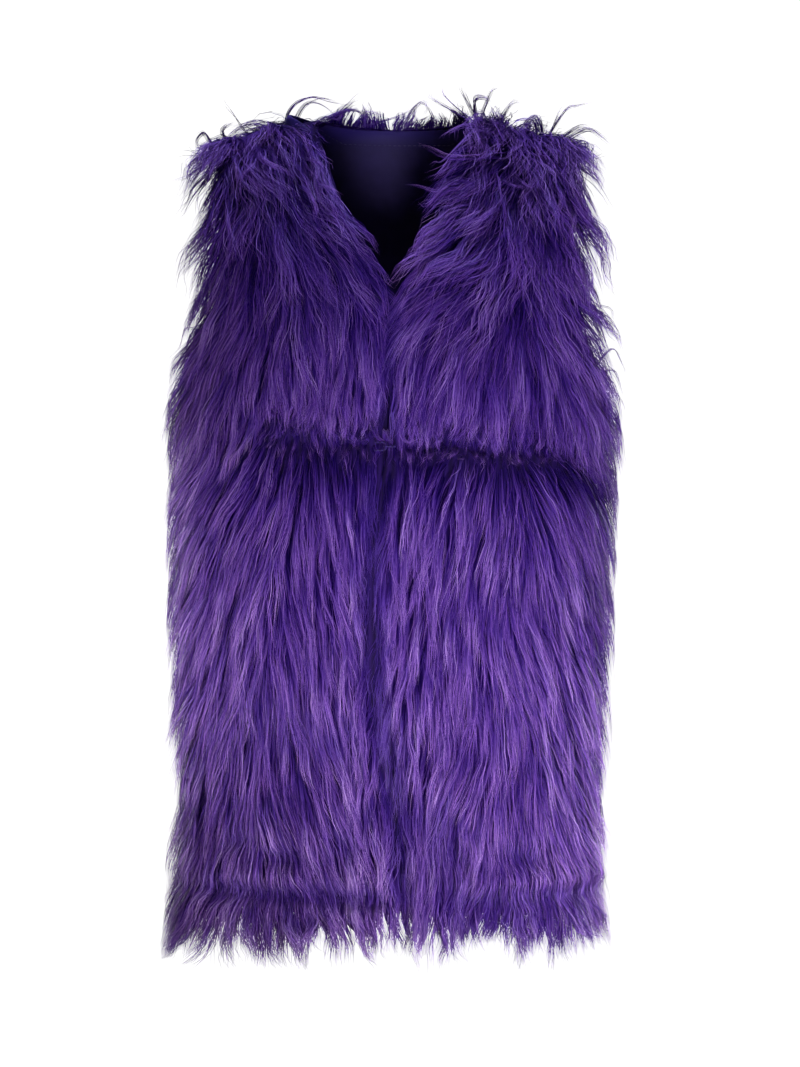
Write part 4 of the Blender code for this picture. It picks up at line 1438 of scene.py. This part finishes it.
def neck_stitches(surface):
    """The row of stitches that holds the lining down, a little below the back neckline."""
    cloth = tree_of(surface)
    line = []
    for x in range(-NECK_SIDE, NECK_SIDE + 1, NECK_STEP):
        z = NECK_RISE - NECK_RISE * min(1.0, (NECK_END - abs(x)) / NECK_TURN)
        hit = cloth.ray_cast(Vector((x * MM, -0.3, z * MM)), Vector((0.0, 1.0, 0.0)))[0]
        if hit is not None:
            line.append(hit)
    if len(line) < 10:
        raise RuntimeError("the back lining has no room for its row of stitches")
    sizes = {"Stitch": 3.2 * MM, "Gap": 1.4 * MM, "Thread": 0.7 * MM, "Material": sewing_thread()}
    path = paths_object("neck_path", [(through(line, 3), 1.0)])
    return put_on(make("neck_stitches", path, stitch_tree(), sizes))


def cloth_area(mesh):
    return sum(face.area for face in mesh.polygons)


def thicken(piece, thickness):
    wall = piece.modifiers.new("Wall", "SOLIDIFY")
    wall.thickness = thickness
    wall.offset = 1.0
    settle(piece)
    piece.data.shade_smooth()


def dress(piece, material):
    piece.data.materials.clear()
    piece.data.materials.append(material)


def hang(piece, node, slot, **cut):
    """Says that a cloth shell stands for a CAD wall: attaches it to the garment and hides the wall. The
    size that it was cut to is not used.
    """
    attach(piece, "root")
    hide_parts(node)


# The coats of pile: a label, the attribute that says where it grows, the pairs of points in a strand on a
# front and on the back, then the tree's inputs. Lift and Tint are used as they are, and the others are
# parts of the pile's sizes.
COAT_COLUMNS = (
    *("label", "Crowd", "front", "back", "Length", "Height", "Width", "Wave"),
    *("Lift", "Tint", "Lock Pull", "Lock Spacing", "Density"),
)
COATS = (
    # The under coat's low Tint is painted shade in the gaps between the locks
    ("under", "cover", 2, 2, 0.60, 0.60, 1.2, 0.2, 0.0, 0.38, 0.7, 1.0, 0.42),
    ("long", "sleek", 6, 4, 1.00, 1.00, 1.0, 1.0, 0.0, 0.72, 1.0, 1.0, 1.00),
    ("curly", "shag", 8, 8, 1.05, 1.10, 1.1, 1.6, 0.03, 0.76, 0.80, 1.8, 0.80),
    ("flank", "flank", 3, 3, 0.90, 0.50, 1.0, 0.5, 0.02, 0.68, 0.70, 1.0, 0.45),
    ("hem", "fringe", 8, 6, 0.95, 1.10, 1.05, 1.4, 0.05, 0.83, 0.66, 1.0, 1.00),
    ("stray", "cover", 7, 7, 1.05, 1.10, 0.7, 1.2, 0.03, 0.86, 0.5, 1.0, 0.08),
)
SIDE_DENSITY = {"front": 1.0, "back": 0.53}


class GILET_OT_fur_cloth(bpy.types.Operator):
    """Makes the fur cloth of the fronts and the back, with its pile"""

    bl_idname = "gilet.fur_cloth"
    bl_label = "Fur cloth"

    def execute(self, context):
        pile, cloth = context.scene.gilet_pile, context.scene.gilet_cloth
        fur, backing = fur_pile(), knitted_backing()
        tree, locks = pile_tree(), lock_tree()
        for number, (name, lining) in enumerate(PANELS):
            side = side_of(name)
            creases = rows_of(CREASE_COLUMNS, CREASES, side)
            drape = smooth_cloth("combed_" + name, skin_of(name), creases, 2)
            surface = drape.data
            bpy.data.objects.remove(drape, do_unlink=True)
            comb(surface, name)
            whole = {
                "Density": pile.density * SIDE_DENSITY[side] * 1.0,
                "Length": pile.length,
                "Height": pile.height,
                "Width": pile.width,
                "Wave": pile.wave,
                "Lock Spacing": pile.lock,
                "Lock Pull": pile.pull,
            }
            grown = []
            for place, row in enumerate(COATS):
                coat = dict(zip(COAT_COLUMNS, row))
                strand = link("strand", strand_mesh(coat[side]))
                sizes = {
                    **{label: coat[label] for label in ("Crowd", "Lift", "Tint")},
                    **{label: coat[label] * size for label, size in whole.items()},
                    "Strand": strand,
                    "Tuft Spacing": pile.tuft,
                    "Seed": pile.seed + 10 * place + number,
                    "Lock Seed": pile.seed + number,
                    "Material": fur,
                }
                combed = link("combed_cloth", surface.copy())
                piece = make("pile_%s_%s" % (coat["label"], name), combed, tree, sizes)
                bpy.data.objects.remove(strand, do_unlink=True)
                grown.append(put_on(piece))
            sizes = {
                "Crowding": 5.5 / MM,
                "Width": 0.75 * pile.width,
                "Pull": 0.62,
                "Wave": 2.2 * MM,
                "Tint": 0.70,
                "Seed": pile.seed + 50 + number,
                "Material": fur,
            }
            paths = paths_object("lock_paths", lock_paths(name, surface))
            grown.append(put_on(make("loose_locks_" + name, paths, locks, sizes)))
            base = smooth_cloth("fur_cloth_" + name, skin_of(name), creases, 1)
            area = cloth_area(base.data)
            turn_out(base.data, rows_of(TURN_COLUMNS, ARMHOLE_FEET, side))
            thicken(base, cloth.backing)
            dress(base, backing)
            hang(base, name, "fur", area=area, rests_on=[lining], with_pieces=grown)
        return {"FINISHED"}


class GILET_OT_lining(bpy.types.Operator):
    """Makes the satin lining of the fronts and the back"""

    bl_idname = "gilet.lining"
    bl_label = "Lining"

    def execute(self, context):
        satin = satin_lining()
        for name, lining in PANELS:
            side = side_of(name)
            creases = rows_of(CREASE_COLUMNS, CREASES + LINING_CREASES, side)
            piece = smooth_cloth("satin_" + lining, skin_of(lining), creases, 2)
            area = cloth_area(piece.data)
            turn_out(piece.data, rows_of(TURN_COLUMNS, LINING_TURNS, lining))
            turn_out(piece.data, rows_of(TURN_COLUMNS, ARMHOLE_FEET, side))
            trim = [neck_stitches(piece.data)] if side == "back" else []
            thicken(piece, context.scene.gilet_cloth.satin)
            dress(piece, satin)
            hang(piece, lining, "lining", area=area, with_pieces=trim)
        return {"FINISHED"}


class GILET_OT_fastening(bpy.types.Operator):
    """Finishes the hook and eye at the waist"""

    bl_idname = "gilet.fastening"
    bl_label = "Hook and eye"

    def execute(self, context):
        wire = covered_wire()
        for name in ("fur_hook", "fur_eye"):
            dress(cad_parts[name], wire)
        return {"FINISHED"}


# The paper sweep, in metres: height of the floor, rings of its flat part, bend up to the wall, and top
FLOOR = -1.25
PAPER_FLAT = (0.0, 4.0, 7.0)
PAPER_BEND = 1.5
PAPER_BEND_STEPS = 10
PAPER_TOP = 5.0
PAPER_SEGMENTS = 64

# The lamps: label, colour, place and aim in metres, width, height, spread in degrees and power in watts
LAMPS = (
    ("Key light", "#ffffff", (1.05, -1.6, -1.00), (0.11, 0.0, -0.66), 0.5, 0.32, 24, 1.56),
    ("Fill light", "#ffffff", (-1.05, -1.6, -0.85), (-0.12, 0.0, -0.46), 0.5, 0.25, 21, 0.74),
    ("Chest light", "#d8ccff", (0.15, -1.65, -1.00), (0.11, 0.0, -0.17), 0.4, 0.42, 24, 0.86),
    ("Top light", "#c8baff", (0.1, -0.05, 1.4), (0.0, 0.0, 0.0), 0.7, 0.7, 60, 3.8),
    ("Right back light", "#ffffff", (-1.1, 2.2, -0.25), (0.0, 0.0, -0.35), 0.9, 1.0, 60, 4.0),
    ("Left back light", "#ffffff", (1.1, 2.2, -0.25), (0.0, 0.0, -0.35), 0.9, 1.0, 60, 4.0),
)
STUDIO_STRENGTH = 0.09
# Width of the photograph, in pixels
PICTURE_WIDTH = 800


def paper_sweep():
    """A round sheet of paper that curves up into a wall all round."""
    profile = [(radius, FLOOR) for radius in PAPER_FLAT]
    flat = PAPER_FLAT[-1]
    for step in range(1, PAPER_BEND_STEPS + 1):
        angle = math.pi / 2 * step / PAPER_BEND_STEPS
        profile.append((flat + PAPER_BEND * math.sin(angle), FLOOR + PAPER_BEND * (1 - math.cos(angle))))
    profile.append((flat + PAPER_BEND, PAPER_TOP))
    sweep = bmesh.new()
    edge = [sweep.verts.new((radius, 0.0, z)) for radius, z in profile]
    rim = [sweep.edges.new(pair) for pair in zip(edge, edge[1:])]
    turn = {"axis": (0, 0, 1), "cent": (0, 0, 0), "angle": 2 * math.pi, "steps": PAPER_SEGMENTS}
    bmesh.ops.spin(sweep, geom=edge + rim, **turn)
    bmesh.ops.remove_doubles(sweep, verts=sweep.verts, dist=1 * MM)
    bmesh.ops.recalc_face_normals(sweep, faces=sweep.faces)
    mesh = bpy.data.meshes.new("paper_sweep")
    sweep.to_mesh(mesh)
    sweep.free()
    mesh.shade_smooth()
    mesh.materials.append(studio_paper())
    return link("paper_sweep", mesh)


class GILET_OT_stage(bpy.types.Operator):
    """Makes the white floor and backdrop, the studio light and the camera"""

    bl_idname = "gilet.stage"
    bl_label = "Stage"

    def execute(self, context):
        sizes = context.scene.gilet_stage
        scene = context.scene
        scene.view_settings.view_transform = "Standard"
        # The paper is only seen: the lamps and the studio's own light do the lighting
        paper = paper_sweep()
        paper.visible_diffuse = False
        paper.visible_glossy = False
        paper.visible_shadow = False
        for label, tone, place, aim, width, height, spread, power in LAMPS:
            light = bpy.data.lights.new(label, "AREA")
            light.shape = "RECTANGLE"
            light.size = width
            light.size_y = height
            light.spread = math.radians(spread)
            light.energy = power
            light.color = linear(tone)[:3]
            lamp = link(label, light)
            lamp.location = place
            lamp.rotation_euler = (Vector(aim) - lamp.location).to_track_quat("-Z", "Y").to_euler()
        world = bpy.data.worlds.new("White studio")
        world.use_nodes = True
        studio = world.node_tree.nodes["Background"].inputs
        studio["Color"].default_value = linear("#ffffff")
        studio["Strength"].default_value = STUDIO_STRENGTH
        scene.world = world
        lens = bpy.data.cameras.new("Camera")
        lens.sensor_fit = "HORIZONTAL"
        lens.lens = lens.sensor_width * sizes.distance / (PICTURE_WIDTH * sizes.pixel)
        camera = link("Camera", lens)
        camera.location = (sizes.centre_x, -sizes.distance, sizes.centre_z)
        camera.rotation_euler = (math.pi / 2, sizes.roll, 0.0)
        scene.camera = camera
        return {"FINISHED"}


class GILET_PT_panel(bpy.types.Panel):
    """Lists the gilet's steps and sizes"""

    bl_idname = "GILET_PT_panel"
    bl_label = "Faux fur gilet"
    bl_space_type = "VIEW_3D"
    bl_region_type = "UI"
    bl_category = "Gilet"

    def draw(self, context):
        for step in OPERATORS:
            self.layout.operator(step.bl_idname)
        for group in (context.scene.gilet_pile, context.scene.gilet_cloth, context.scene.gilet_stage):
            box = self.layout.box()
            for name in type(group).__annotations__:
                box.prop(group, name)


GROUPS = (("gilet_pile", PileSizes), ("gilet_cloth", ClothSizes), ("gilet_stage", StageSizes))
OPERATORS = (GILET_OT_stage, GILET_OT_lining, GILET_OT_fur_cloth, GILET_OT_fastening)


def register():
    for name, group in GROUPS:
        bpy.utils.register_class(group)
        setattr(bpy.types.Scene, name, bpy.props.PointerProperty(type=group))
    for kind in (*OPERATORS, GILET_PT_panel):
        bpy.utils.register_class(kind)


def unregister():
    for kind in (GILET_PT_panel, *reversed(OPERATORS)):
        bpy.utils.unregister_class(kind)
    for name, group in reversed(GROUPS):
        delattr(bpy.types.Scene, name)
        bpy.utils.unregister_class(group)


def main():
    register()
    bpy.ops.gilet.stage()
    bpy.ops.gilet.lining()
    bpy.ops.gilet.fur_cloth()
    bpy.ops.gilet.fastening()


if __name__ == "__main__":
    main()
